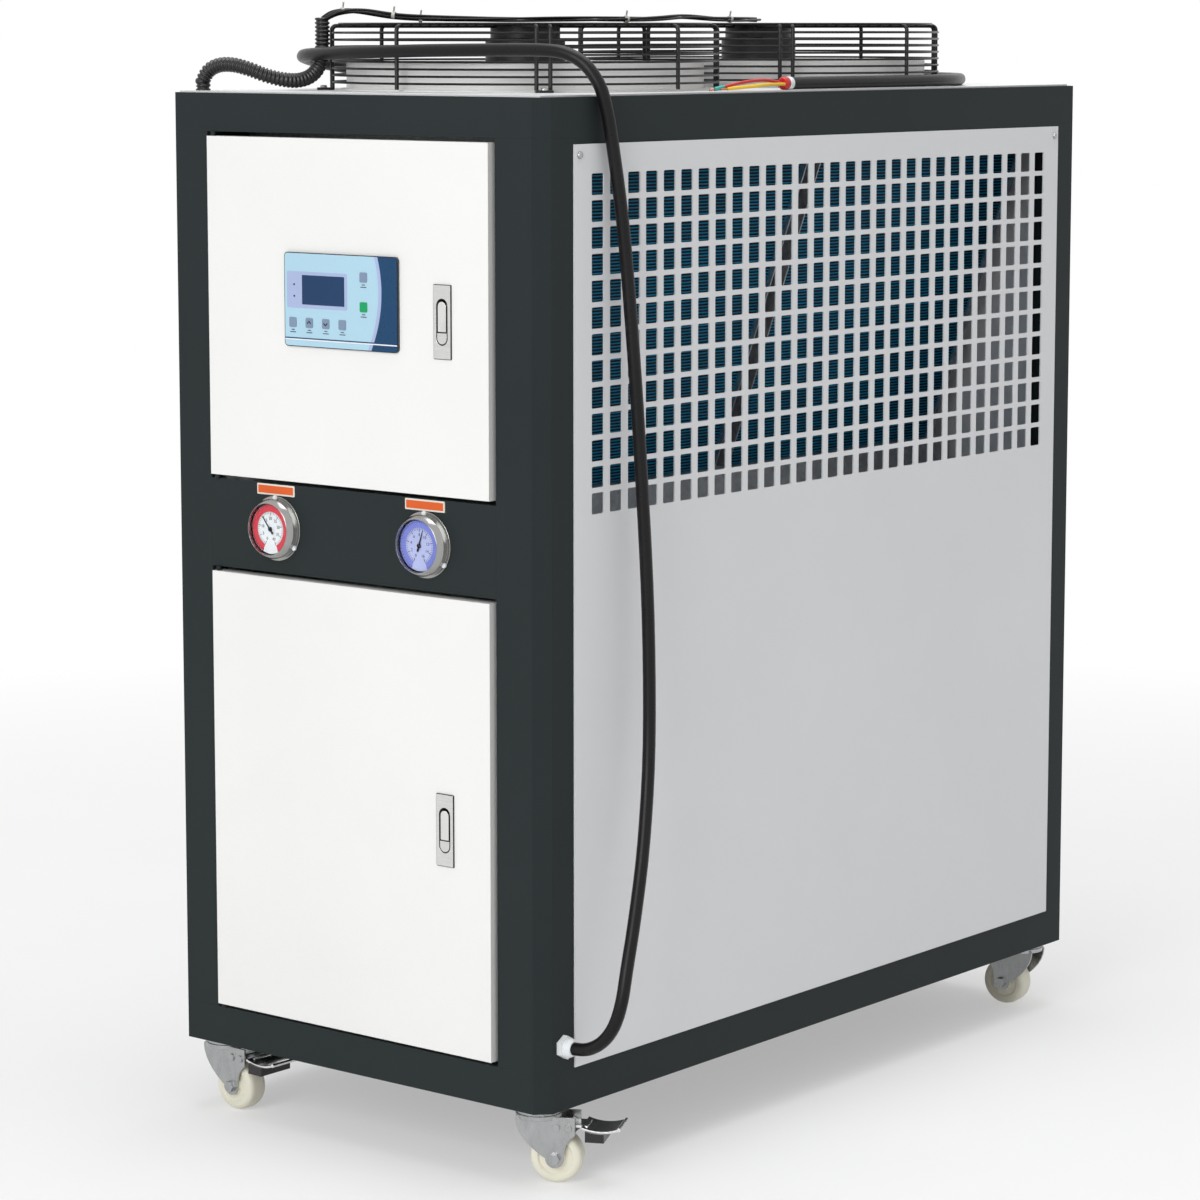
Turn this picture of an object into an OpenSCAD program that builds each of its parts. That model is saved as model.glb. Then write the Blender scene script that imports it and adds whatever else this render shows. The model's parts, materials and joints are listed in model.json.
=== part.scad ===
// Air cooled water chiller: charcoal frame on four casters, two white doors,
// perforated side panels, V-shaped condenser coils and two fans on the deck.
// Millimetres. Z is up, the front faces -Y, and the origin is on the floor
// under the middle of the cabinet.

/* [Cabinet] */
// Width of the frame, side to side
cab_w = 580; // [540:5:640]
// Length of the frame, front to back
cab_l = 1110; // [1080:10:1200]
// Height of the frame, from its bottom edge to the deck
cab_h = 1150; // [1120:10:1250]
// Chamfer along the four upright corners
corner_cut = 16; // [8:1:20]
// Depth of the posts and rails
frame_d = 25; // [20:1:32]
// Width of a front post's face
front_post_w = 68; // [56:1:80]
// Frame that shows beside a side panel
side_margin = 54; // [48:1:64]
// Frame that shows beside the rear panel
rear_margin = 50; // [44:1:60]
// Height of the front sill
sill_h = 47; // [40:1:60]
// Height of the front head rail
head_h = 47; // [40:1:56]
// Frame that shows above the side and rear panels
panel_drop = 54; // [48:1:64]
// How far a panel laps over the frame
panel_lap = 6; // [4:1:10]
// Thickness of the panels, the deck and the inner sheets
sheet = 2; // [1:0.5:3]

/* [Doors] */
// Gap round each door
door_gap = 5; // [4:0.5:7]
// Depth of a door from its face to its back edge
door_d = 20; // [16:1:24]
// How far a door stands proud of the frame
door_proud = 6; // [4:1:8]
// Height of the gauge rail between the doors
gauge_rail_h = 106; // [106:1:125]
// Height of the lower door opening
lower_opening_h = 540; // [500:5:570]
// Diameter of a hinge pin
hinge_pin_d = 6; // [5:0.5:8]
// Height of a latch plate
latch_h = 83; // [76:1:90]
// Width of a latch plate
latch_w = 25; // [23:1:30]
// Distance from the door's free edge to the middle of the latch
latch_in = 67; // [50:1:90]
// Width of the control panel
panel_w = 176; // [150:2:190]
// Height of the control panel
panel_h = 109; // [96:1:120]

/* [Side panels] */
// Rows of holes
hole_rows = 13; // [8:1:16]
// Width of a hole
hole_w = 22; // [16:1:25]
// Height of a hole
hole_h = 24; // [16:1:26]
// Distance between columns
hole_pitch_y = 32.7; // [30:0.1:33]
// Distance between rows
hole_pitch_z = 29.9; // [28:0.1:33]
// Panel above the first row of holes
hole_top = 33; // [26:1:50]
// Panel behind the last column of holes
hole_rear = 34; // [26:1:40]
// Least panel in front of the first column of holes
hole_front = 28; // [20:1:40]

/* [Fans] */
// Radius of a wire guard at the middle of its wires
guard_r = 232; // [220:1:236]
// Height of a guard above the deck
guard_h = 80; // [72:1:100]
// Distance between the two fan centres
fan_pitch = 472; // [470:1:500]
// Side rings of a guard
side_rings = 8; // [5:1:9]
// Rings on top of a guard
top_rings = 10; // [6:1:12]
// Thickness of the ring wire
wire = 3; // [2.4:0.2:4]
// Thickness of the rods
rod = 5; // [4:0.5:6]
// Radius of the bend where a rod turns from the top to the side
rod_bend = 8; // [6:1:10]
// Distance between the two rods of a pair
rod_pair = 16; // [12:1:24]
// Inner radius of the fan ring
ring_r = 212; // [200:1:216]
// Height of the fan ring above the deck
ring_h = 33; // [26:1:40]
// Number of blades
blades = 5; // [4:1:7]
// Diameter of the motor
motor_d = 96; // [86:1:110]

/* [Coils] */
// Lean of the fin packs from upright, in degrees
coil_lean = 20; // [16:1:22]
// Thickness of a fin pack
coil_t = 44; // [36:1:50]
// Space between the front of the frame and the front packs
front_bay = 125; // [115:1:160]
// Space between the rear packs and the back of the frame
rear_bay = 45; // [40:1:70]
// Space between the front and rear packs
coil_split = 30; // [24:1:40]

/* [Gauges] */
// Diameter of a gauge bezel
bezel_d = 67; // [60:1:70]
// Distance between the gauges
gauge_pitch = 233; // [200:1:260]
// How far a bezel stands out
bezel_out = 17; // [14:1:20]

/* [Casters] */
// Height of a caster from the floor to the frame
caster_h = 90; // [86:1:100]
// Diameter of a wheel
wheel_d = 61; // [54:1:63]
// Width of a wheel
wheel_w = 28; // [24:1:30]
// Distance of a wheel's axle behind its swivel
trail = 22; // [18:1:26]
// Distance of a swivel from the frame's sides
caster_in = 42; // [38:1:50]
// Diameter of an axle bolt
axle_d = 8; // [6:1:10]
// Diameter of a kingpin
king_d = 10; // [8:1:12]

/* [Water and power] */
// Bore of the water ports
port_bore = 30; // [24:1:36]
// Outer diameter of the water ports
port_d = 42; // [40:1:50]
// How far the ports stand out behind the frame
port_out = 22; // [16:1:28]
// Diameter of the power cord
cord_d = 15; // [12:0.5:16]
// Diameter of the conduit
conduit_d = 18; // [16:1:20]

/* [Hidden] */
$fn = 64;

charcoal = "#343a3c";
white = "#f0f0ee";
pale_grey = "#c7c8ca";
black = "#161717";
zinc = "#b9bbbb";
copper = "#b0673c";
fin_blue = "#0a5078";
ivory = "#ece6d2";
orange = "#e2641f";

eps = 0.01;
running = 0.05;
swivel_gap = 0.3;

// Places worked out from the driving sizes
half_w = cab_w / 2;
half_l = cab_l / 2;
base_z = caster_h;
sill_z = base_z + sill_h;
deck_z = base_z + cab_h;
deck_under = deck_z - sheet;
head_z = deck_z - head_h;
panel_z0 = sill_z;
panel_z1 = deck_z - panel_drop;
inner_x = half_w - frame_d;
inner_y = half_l - frame_d;
opening_x = half_w - front_post_w;
rail_z0 = sill_z + lower_opening_h;
rail_z1 = rail_z0 + gauge_rail_h;
rail_mid = (rail_z0 + rail_z1) / 2;

// Doors
door_x = opening_x - door_gap;
face_y = -half_l - door_proud;
door_back_y = face_y + door_d;
lower_z = [sill_z + door_gap, rail_z0 - door_gap];
upper_z = [rail_z1 + door_gap, head_z - door_gap];
hinge_in = 6;
hinge_deep = 5;
hinge_grip = 12;
hinge_x = -door_x + hinge_in;
hinge_y = face_y + hinge_deep;
hinge_block = 12;
latch_x = door_x - latch_in;
upper_latch_up = 198;
lower_latch_up = 262;
upper_latch_z = upper_z[0] + upper_latch_up;
lower_latch_z = lower_z[0] + lower_latch_up;
panel_x = -3;
panel_up = 214;
panel_z = upper_z[0] + panel_up;
panel_t = 3;
panel_round = 5;
housing_w = panel_w - 24;
housing_h = panel_h - 18;
housing_d = 36;
latch_t = 2;
latch_body_w = latch_w - 5;
latch_body_h = latch_h - 8;
latch_body_d = 15;
recess_w = 17;
recess_l = 53;
recess_d = 11;
lever_gap = 2.5;
lever_w = recess_w - 2 * lever_gap;
lever_l = 34;
lever_back = 5.5;
lever_ridge = 0.8;
lever_pin_d = 3;
lever_pin_in = 4;
lever_pin_deep = 4.5;
lever_end_gap = 3.5;
lever_top = recess_l / 2 - lever_end_gap;
lever_pin_z = lever_top - lever_pin_in;
button_gap = 1.5;
button_w = recess_w - 2 * button_gap;
fit_gap = 0.5;

// Fans
fan_y = fan_pitch / 2;
ring_t = 3;
ring_under = 12;
deck_hole_r = ring_r + ring_t;
motor_r = motor_d / 2;
stator_h = 16;
stator_r = 42;
hub_z = deck_z + 6;
stator_z = deck_z + guard_h - wire - stator_h;
hub_top = stator_z - 2;
shaft_r = 6;
hub_floor = 10;
shaft_end_gap = 2;
shaft_z = hub_z + hub_floor + shaft_end_gap;
tip_gap = 6;
blade_r = ring_r - tip_gap;
blade_h = 34;
blade_t = 2.5;
blade_chord = 118;
blade_camber_r = 190;
blade_pitch = 14;
blade_lead = 70;
blade_trail = 60;
notch_r = 80;
notch_out = 66;
notch_back = 120;
disc_r = 58;
foot_reach = 16;
foot_t = 3;
ring_first = 8;
ring_gap = 1;
rod_top = deck_z + guard_h - wire / 2;
bend_x = guard_r + rod / 2 - rod_bend;
bend_z = rod_top - rod_bend;

// Coils hang under the deck, leaning inwards from the top frame
plate_t = 2;
plate_rim = 5;
plate_side_gap = 2.7;
coil_drop = 510;
tray_z = deck_z - coil_drop;
rail_h = 32;
rail_lap_out = 18;
rail_lap_in = 12;
rail_end_gap = 4;
coil_foot_z = tray_z + sheet + rail_h;
coil_top_gap = 44;
coil_top_z = deck_under - coil_top_gap;
coil_dx = coil_t / cos(coil_lean);
rim_dx = plate_rim / cos(coil_lean);
function coil_x(z) = inner_x - plate_side_gap - rim_dx + (z - deck_under) * tan(coil_lean);
coil_front_y = -half_l + front_bay;
coil_rear_y = half_l - rear_bay;
coil_l = (coil_rear_y - coil_front_y - coil_split) / 2;
coil_starts = [coil_front_y, coil_front_y + coil_l + coil_split];
bulkhead_gap = 8;
bulkhead_y = coil_front_y - plate_t - bulkhead_gap;
bulkhead_top = deck_under - ring_under - fit_gap;
header_r = 8;
header_out = 12;
header_y = coil_rear_y + plate_t + header_out;
header_low = 40;
header_high = 60;
stub_in = 30;
stub_pitch = 80;

// Gauges and labels
gauge_hole_r = bezel_d / 2 - 4;
flange_t = 1.5;
bezel_wall = 3;
bezel_round = 4;
dial_in = 7;
lens_in = 2.5;
can_d = 34;
label_w = 60;
label_h = 13;
label_t = 1;
label_z = rail_z1 - label_h / 2 - 1;
flange_r = min(bezel_d / 2 + 5, label_z - label_h / 2 - rail_mid - fit_gap);

// Casters
plate_w = 68;
caster_plate_t = 3;
race_r = 26;
race_z = caster_h - 9;
yoke_top_z = race_z - swivel_gap;
yoke_disc_t = 5;
yoke_disc_r = 27;
king_nut_r = 8;
king_nut_h = 4;
leg_t = 2.5;
leg_gap = 2;
leg_in = wheel_w / 2 + leg_gap;
leg_top = yoke_top_z - 1;
axle_z = wheel_d / 2;
leg_round = 11;
tread_round = 8;
pedal_u = trail + 16;
pedal_z = wheel_d + 6;
pedal_pin_d = 5;
pedal_block_r = 5.2;
pedal_w = 46;
pedal_start = 16;
pedal_reach = 60;
pedal_t = 2.5;
pedal_lift = 4;
pedal_dish_r = 60;
pedal_lip_r = 2.2;
pedal_mid = (pedal_start + pedal_reach) / 2;
pedal_dish_z = pedal_lift + sqrt(pow(pedal_dish_r, 2) - pow(pedal_reach - pedal_mid, 2));
bar_u = [21, 43];
bar_z = -13;
bar_over = 2;
rivet_d = 9;
rivet_h = 1.6;
swivel_x = half_w - caster_in;
swivel_y = half_l - caster_in;
// Each caster stands at a corner with its wheel turned to the given angle
CASTERS = [[-1, -1, -1], [1, -1, 27], [-1, 1, 176], [1, 1, 184]];

// Water ports on the rear panel: place across, height
port_x = -130;
port_low = 260;
port_pitch = 160;
PORTS = [[port_x, port_low], [port_x, port_low + port_pitch]];

// Power entry on the right face of the front right post
gland_in = 35;
gland_up = 75;
gland_y = -half_l + gland_in;
gland_z = base_z + gland_up;
gland_af = 24;
gland_l = 16;

// Conduit from the deck to the top of the front guard, measured from the fan's middle on the deck
CONDUIT_POINTS = [
  [-262, -284, 0], [-262, -284, 6], [-262, -284, 12], [-254, -281, 24], [-240, -277, 30],
  [-222, -272, 30], [-204, -264, 25], [-189, -253, 18], [-176, -237, 13], [-168, -219, 12],
  [-164, -202, 17], [-163, -189, 28], [-163, -183, 45], [-163, -182, 64], [-163, -182, 86]
];
CONDUIT_ROUTE = [for (p = CONDUIT_POINTS) p + [0, -fan_y, deck_z]];

// Motor leads over the guards, measured from the top of the guard each stretch lies on
FRONT_LEAD_POINTS = [
  [-163, -182, 4], [-156, -169, 12], [-140, -149, 14], [-110, -114, 7], [-80, -82, 4], [-45, -44, 4],
  [-15, -14, 4]
];
REAR_LEAD_START = [
  [-157, -184, 4], [-146, -168, 12], [-125, -149, 14], [-80, -124, 7], [-10, -74, 4], [60, -14, 4],
  [85, 66, 4], [75, 156, 5]
];
REAR_LEAD_END = [
  [60, -236, 7], [50, -156, 5], [35, -86, 4], [10, -16, 4]
];
lead_d = 7;
guard_top = deck_z + guard_h;
FRONT_LEAD = [for (p = FRONT_LEAD_POINTS) p + [0, -fan_y, guard_top]];
REAR_LEAD = concat(
  [for (p = REAR_LEAD_START) p + [0, -fan_y, guard_top]],
  [for (p = REAR_LEAD_END) p + [0, fan_y, guard_top]]
);

// Power cord route: gland, up the side, round both guards and back along the deck
CORD_ROUTE = [
  [306, -520, 165], [326, -520, 168], [347, -520, 180], [362, -518, 200], [369, -513, 228],
  [368, -502, 265], [360, -477, 321], [347, -445, 398], [334, -419, 505],
  [326, -411, 650], [320, -415, 800], [314, -423, 950], [308, -434, 1090], [303, -448, 1188],
  [300, -455, 1226], [295, -461, 1251], [280, -467, 1273], [258, -472, 1285], [228, -476, 1289],
  [150, -480, 1289], [60, -480, 1288], [-30, -478, 1286], [-112, -463, 1284], [-180, -433, 1281],
  [-224, -371, 1275], [-247, -298, 1267], [-258, -205, 1259], [-262, -95, 1251], [-262, 25, 1248],
  [-262, 160, 1248], [-253, 304, 1248], [-185, 421, 1248], [-68, 489, 1248], [68, 489, 1248],
  [185, 421, 1248], [253, 304, 1248], [264, 160, 1248], [264, 45, 1248], [264, -70, 1248]
];
core_d = 4;
core_spread = 5;
// Bends of the middle core, measured from the end of the sheath
CORE_POINTS = [
  [0, 0, -1], [-2, -30, -1], [-8, -65, -3], [-18, -100, core_d / 2 - cord_d / 2]
];

// Vector, curve and sweep functions
function unit(v) = v / norm(v);
function bend(a, b, c, steps) =
  [for (i = [0 : steps]) let (t = i / steps) (1 - t) * (1 - t) * a + 2 * t * (1 - t) * b + t * t * c];
function spline(a, b, c, d, u) =
  0.5 * (2 * b + (c - a) * u + (2 * a - 5 * b + 4 * c - d) * u * u + (3 * b - a - 3 * c + d) * u * u * u);
function route_point(p, s) =
  let (last = len(p) - 1, i = min(floor(s), last - 1))
  spline(p[max(i - 1, 0)], p[i], p[i + 1], p[min(i + 2, last)], s - i);
function route(p, steps) = [for (j = [0 : steps * (len(p) - 1)]) route_point(p, j / steps)];

// Closed tube of radius r along a path
module tube(path, r, sides) {
  n = len(path);
  t = [for (i = [0 : n - 1]) unit(path[min(i + 1, n - 1)] - path[max(i - 1, 0)])];
  first = unit(cross(t[0], abs(t[0][2]) < 0.9 ? [0, 0, 1] : [1, 0, 0]));
  side = [
    for (i = 0, v = first; i < n; i = i + 1, v = unit(v - (v * t[min(i, n - 1)]) * t[min(i, n - 1)])) v
  ];
  points = [
    for (i = [0 : n - 1], j = [0 : sides - 1])
      path[i] + r * (cos(360 * j / sides) * side[i] + sin(360 * j / sides) * cross(t[i], side[i]))
  ];
  walls = [
    for (i = [0 : n - 2], j = [0 : sides - 1])
      let (k = (j + 1) % sides)
      [i * sides + j, (i + 1) * sides + j, (i + 1) * sides + k, i * sides + k]
  ];
  start_cap = [for (j = [0 : sides - 1]) j];
  end_cap = [for (j = [sides - 1 : -1 : 0]) (n - 1) * sides + j];
  polyhedron(points, concat(walls, [start_cap, end_cap]), convexity = 6);
}

// Box from its two corners
module box(a, b) {
  translate(a) cube(b - a);
}

// Plan of the cabinet with its chamfered corners
module cabinet_plan() {
  c = corner_cut;
  polygon([
    [-half_w + c, -half_l], [half_w - c, -half_l], [half_w, -half_l + c], [half_w, half_l - c],
    [half_w - c, half_l], [-half_w + c, half_l], [-half_w, half_l - c], [-half_w, -half_l + c]
  ]);
}

module plan_ring(x, y) {
  difference() {
    cabinet_plan();
    square([2 * x, 2 * y], center = true);
  }
}

// Side and rear bars between the posts that the panels lap over
module lap_bars(z0, z1) {
  bar_y = half_l - side_margin - panel_lap;
  bar_x = half_w - rear_margin - panel_lap;
  for (s = [-1, 1])
    translate([s * (half_w - frame_d / 2), 0, (z0 + z1) / 2])
      cube([frame_d, 2 * bar_y, z1 - z0], center = true);
  translate([0, half_l - frame_d / 2, (z0 + z1) / 2])
    cube([2 * bar_x, frame_d, z1 - z0], center = true);
}

module base_frame() {
  rail = 60;
  color(charcoal) union() {
    translate([0, 0, base_z]) linear_extrude(sill_h) plan_ring(half_w - rail, half_l - rail);
    lap_bars(sill_z - eps, sill_z + panel_lap);
  }
}

module base_pan() {
  color(charcoal)
    box([-inner_x + 1, -inner_y + 1, sill_z], [inner_x - 1, inner_y - 1, sill_z + sheet]);
}

// One corner post: an angle with a chamfered outer corner
module post(face_w, side_w) {
  color(charcoal)
    translate([0, 0, sill_z]) linear_extrude(head_z - sill_z) intersection() {
      cabinet_plan();
      union() {
        translate([-half_w, -half_l]) square([face_w, frame_d]);
        translate([-half_w, -half_l]) square([frame_d, side_w]);
      }
    }
}

module front_posts() {
  for (s = [0, 1]) mirror([s, 0, 0]) post(front_post_w, side_margin + panel_lap);
}

module rear_posts() {
  for (s = [0, 1])
    mirror([s, 0, 0]) mirror([0, 1, 0]) post(rear_margin + panel_lap, side_margin + panel_lap);
}

module top_frame() {
  color(charcoal) union() {
    translate([0, 0, head_z]) linear_extrude(deck_under - head_z) plan_ring(inner_x, inner_y);
    lap_bars(panel_z1 - panel_lap, head_z + eps);
  }
}

module gauge_rail() {
  color(charcoal) difference() {
    box([-opening_x, -half_l, rail_z0], [opening_x, -inner_y, rail_z1]);
    for (s = [-1, 1])
      translate([s * gauge_pitch / 2, -half_l - 1, rail_mid])
        rotate([-90, 0, 0]) cylinder(r = gauge_hole_r, h = frame_d + 2);
  }
}

module deck_panel() {
  rim = 12;
  color(pale_grey) translate([0, 0, deck_under]) linear_extrude(sheet) difference() {
    square([cab_w - 2 * rim, cab_l - 2 * rim], center = true);
    for (s = [-1, 1]) translate([0, s * fan_y]) circle(r = deck_hole_r);
  }
}

// One rounded square hole of the perforation
module hole() {
  corner = 1.28;
  intersection() {
    square([hole_w, hole_h], center = true);
    circle(d = corner * max(hole_w, hole_h));
  }
}

// Perforated side panel in its own plane: length along X, height along Y
module panel_sheet() {
  length = cab_l - 2 * side_margin;
  height = panel_z1 - panel_z0;
  columns = floor((length - hole_rear - hole_front - hole_w) / hole_pitch_y) + 1;
  linear_extrude(sheet) difference() {
    translate([-length / 2, 0]) square([length, height]);
    for (i = [0 : columns - 1], j = [0 : hole_rows - 1])
      translate([
        length / 2 - hole_rear - hole_w / 2 - i * hole_pitch_y,
        height - hole_top - hole_h / 2 - j * hole_pitch_z
      ]) hole();
  }
}

module right_side_panel() {
  color(pale_grey) translate([half_w, 0, panel_z0]) rotate([90, 0, 90]) panel_sheet();
}

module left_side_panel() {
  color(pale_grey) mirror([1, 0, 0]) translate([half_w, 0, panel_z0]) rotate([90, 0, 90]) panel_sheet();
}

module rear_panel() {
  x = half_w - rear_margin;
  color(pale_grey) difference() {
    box([-x, half_l, panel_z0], [x, half_l + sheet, panel_z1]);
    for (p = PORTS)
      translate([p[0], half_l - 1, base_z + p[1]])
        rotate([-90, 0, 0]) cylinder(d = port_d + 2 * fit_gap, h = sheet + 2);
  }
}

module inner_bulkhead() {
  color(zinc)
    box([-inner_x + 1, bulkhead_y - sheet, sill_z + sheet], [inner_x - 1, bulkhead_y, bulkhead_top]);
}

// Tray with the two rails that the fin packs stand on
module coil_tray() {
  rail_out = coil_x(coil_foot_z) + rail_lap_out;
  rail_in = coil_x(coil_foot_z) - coil_dx - rail_lap_in;
  color(zinc) union() {
    box([-inner_x, bulkhead_y, tray_z], [inner_x, inner_y, tray_z + sheet]);
    for (s = [0, 1])
      mirror([s, 0, 0])
        box([rail_in, bulkhead_y + rail_end_gap, tray_z], [rail_out, inner_y - rail_end_gap, coil_foot_z]);
  }
}

// Upright slice of a leaning pack between two heights, drawn across the cabinet
module coil_slice(z0, z1, rim, length) {
  rotate([90, 0, 0]) linear_extrude(length) polygon([
    [coil_x(z0) + rim, z0], [coil_x(z1) + rim, z1],
    [coil_x(z1) - coil_dx - rim, z1], [coil_x(z0) - coil_dx - rim, z0]
  ]);
}

module fin_packs() {
  color(fin_blue) for (y = coil_starts, s = [0, 1])
    mirror([s, 0, 0]) translate([0, y + coil_l, 0]) coil_slice(coil_foot_z, coil_top_z, 0, coil_l);
}

module coil_end_plates() {
  color(zinc) for (y = coil_starts, e = [0, coil_l + plate_t], s = [0, 1])
    mirror([s, 0, 0]) translate([0, y + e, 0]) coil_slice(coil_foot_z, deck_under, rim_dx, plate_t);
}

// Copper header along the rear end of each rear pack, with its stubs
module header_pipes() {
  z0 = coil_foot_z + header_low;
  z1 = coil_top_z - header_high;
  low = z0 + stub_in;
  high = z1 - stub_in;
  stub_y = coil_rear_y + plate_t;
  length = (z1 - z0) / cos(coil_lean);
  color(copper) for (s = [0, 1])
    mirror([s, 0, 0]) union() {
      translate([coil_x(z0) - coil_dx / 2, header_y, z0])
        rotate([0, coil_lean, 0]) cylinder(r = header_r, h = length);
      for (z = [low, low + stub_pitch, high - stub_pitch, high])
        translate([coil_x(z) - coil_dx / 2, stub_y, z])
          rotate([-90, 0, 0]) cylinder(r = header_r / 2, h = header_y - stub_y);
    }
}

module fan_rings() {
  color(pale_grey) for (s = [-1, 1])
    translate([0, s * fan_y, 0]) rotate_extrude($fn = 96) polygon([
      [ring_r, deck_under - ring_under], [deck_hole_r, deck_under - ring_under],
      [deck_hole_r, deck_z], [deck_hole_r + 8, deck_z], [deck_hole_r + 8, deck_z + sheet],
      [deck_hole_r, deck_z + sheet], [deck_hole_r, deck_z + ring_h], [ring_r, deck_z + ring_h]
    ]);
}

module wire_ring(r) {
  difference() {
    circle(r = r + wire / 2);
    circle(r = r - wire / 2);
  }
}

// Rod places round a guard: single rods on the axes, pairs on the diagonals
module rod_places() {
  for (a = [0 : 90 : 270]) rotate(a) children();
  for (a = [45 : 90 : 315], s = [-1, 1]) rotate(a) translate([0, s * rod_pair / 2]) children();
}

// Area under a rod's upper or lower edge, with the bend's round corner
module rod_area(x0, z0, inset) {
  top = rod_top - inset;
  out = guard_r + rod / 2 - inset;
  union() {
    translate([x0, z0]) square([bend_x - x0, top - z0]);
    translate([x0, z0]) square([out - x0, bend_z - z0]);
    translate([bend_x, bend_z]) circle(r = rod_bend - inset);
  }
}

// One rod from the disc over the bend and down to its foot
module guard_rod() {
  x0 = disc_r - rod;
  z0 = deck_z + foot_t - eps;
  rotate([90, 0, 0]) linear_extrude(rod, center = true) difference() {
    rod_area(x0, z0, 0);
    rod_area(x0 - 1, z0 - 1, rod);
  }
}

// Wire basket over a fan, standing on four clamp feet
module fan_guard() {
  step = (bend_x - wire - disc_r) / top_rings;
  rise = (bend_z - wire - ring_gap - ring_first - deck_z) / (side_rings - 1);
  color(black) union() {
    translate([0, 0, deck_z + guard_h - wire]) linear_extrude(wire) union() {
      circle(r = disc_r);
      for (i = [1 : top_rings]) wire_ring(disc_r + i * step);
    }
    for (i = [0 : side_rings - 1])
      translate([0, 0, deck_z + ring_first + i * rise]) linear_extrude(wire) wire_ring(guard_r);
    rod_places() guard_rod();
    for (a = [45 : 90 : 315])
      rotate(a)
        translate([guard_r - rod / 2, -rod_pair / 2 - rod / 2, deck_z])
          cube([rod + foot_reach, rod_pair + rod, foot_t + eps]);
  }
}

module front_fan_guard() {
  translate([0, -fan_y, 0]) fan_guard();
}

module rear_fan_guard() {
  translate([0, fan_y, 0]) fan_guard();
}

// Stator flange under the guard's disc, with the shaft that the rotor turns on
module fan_motors() {
  color(black) for (s = [-1, 1])
    translate([0, s * fan_y, 0]) union() {
      translate([0, 0, stator_z]) cylinder(r = stator_r, h = stator_h);
      translate([0, 0, shaft_z]) cylinder(r = shaft_r, h = stator_z - shaft_z + eps);
    }
}

// Cambered blade trimmed to its swept outline
module blade() {
  root = motor_r - 6;
  mid_z = hub_z + blade_h / 2;
  sag = blade_camber_r * cos(asin(blade_chord / 2 / blade_camber_r));
  intersection() {
    translate([0, 0, mid_z]) rotate([blade_pitch, 0, 0])
      translate([root, 0, -sag - 8]) rotate([90, 0, 90]) linear_extrude(blade_r) difference() {
        intersection() {
          circle(r = blade_camber_r, $fn = 96);
          translate([-blade_chord / 2, 0]) square([blade_chord, blade_camber_r]);
        }
        circle(r = blade_camber_r - blade_t, $fn = 96);
      }
    translate([0, 0, hub_z]) linear_extrude(blade_h) intersection() {
      circle(r = blade_r, $fn = 96);
      difference() {
        translate([root, -blade_lead]) square([blade_r, blade_lead + blade_trail]);
        translate([root + notch_out, -notch_back]) circle(r = notch_r);
      }
    }
  }
}

module fan_rotor() {
  color(black) difference() {
    union() {
      translate([0, 0, hub_z]) cylinder(r = motor_r, h = hub_top - hub_z);
      for (i = [0 : blades - 1]) rotate(360 * i / blades) blade();
    }
    translate([0, 0, hub_z + hub_floor]) cylinder(r = shaft_r + running, h = hub_top);
  }
}

module front_fan_rotor() {
  translate([0, -fan_y, 0]) fan_rotor();
}

module rear_fan_rotor() {
  translate([0, fan_y, 0]) fan_rotor();
}

// Parts of a gauge are turned about the gauge's own axis, with its face up
module at_gauges() {
  for (s = [-1, 1])
    translate([s * gauge_pitch / 2, -half_l, rail_mid]) rotate([90, 0, 0]) children();
}

module gauge_cases() {
  r = bezel_d / 2;
  can_r = gauge_hole_r - fit_gap;
  lip = [r - bezel_wall, bezel_out - bezel_round / 4];
  color(zinc) at_gauges() rotate_extrude() polygon(concat(
    [[0, -can_d], [can_r, -can_d], [can_r, 0], [flange_r, 0], [flange_r, flange_t], [r, flange_t]],
    bend([r, bezel_out - bezel_round], [r, bezel_out], lip, 5),
    [[r - bezel_wall, bezel_out - dial_in - 1], [0, bezel_out - dial_in - 1]]
  ));
}

// Dial plate with the pointer and its hub
module gauge_dials() {
  r = bezel_d / 2 - bezel_wall - 0.2;
  pointer = 21;
  color(white) at_gauges() translate([0, 0, bezel_out - dial_in - 1]) union() {
    cylinder(r = r, h = 1);
    cylinder(r = 3, h = 2.6);
    rotate(-40) translate([-0.8, -6, 1.4]) cube([1.6, pointer + 6, 0.8]);
  }
}

module gauge_lenses() {
  r = bezel_d / 2 - bezel_wall - 0.1;
  color("#dfe8ea", 0.4) at_gauges() translate([0, 0, bezel_out - lens_in]) cylinder(r = r, h = 1.5);
}

module label_plates() {
  color(orange) for (s = [-1, 1])
    translate([s * gauge_pitch / 2, -half_l - label_t / 2, label_z])
      cube([label_w, label_t, label_h], center = true);
}

// Pins that stand out of the rails into the doors
module door_hinge_pins() {
  reach = door_gap + hinge_grip;
  color(zinc) for (z = [sill_z, rail_z0 - reach, rail_z1, head_z - reach])
    translate([hinge_x, hinge_y, z]) cylinder(d = hinge_pin_d, h = reach);
}

// Door folded from sheet, with a hinge block at each end of its left edge
module door(z0, z1) {
  grip = hinge_grip + 2;
  bore = hinge_pin_d + 2 * running;
  block_x = hinge_in + hinge_pin_d / 2 + 3;
  block_y = hinge_deep + hinge_pin_d / 2 + 3;
  difference() {
    union() {
      difference() {
        box([-door_x, face_y, z0], [door_x, door_back_y, z1]);
        box([-door_x + sheet, face_y + sheet, z0 + sheet], [door_x - sheet, door_back_y + 1, z1 - sheet]);
      }
      for (z = [z0, z1 - grip]) box([-door_x, face_y, z], [-door_x + block_x, face_y + block_y, z + grip]);
    }
    for (z = [z0 - 1, z1 - hinge_grip - 1])
      translate([hinge_x, hinge_y, z]) cylinder(d = bore, h = hinge_grip + 2);
  }
}

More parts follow.
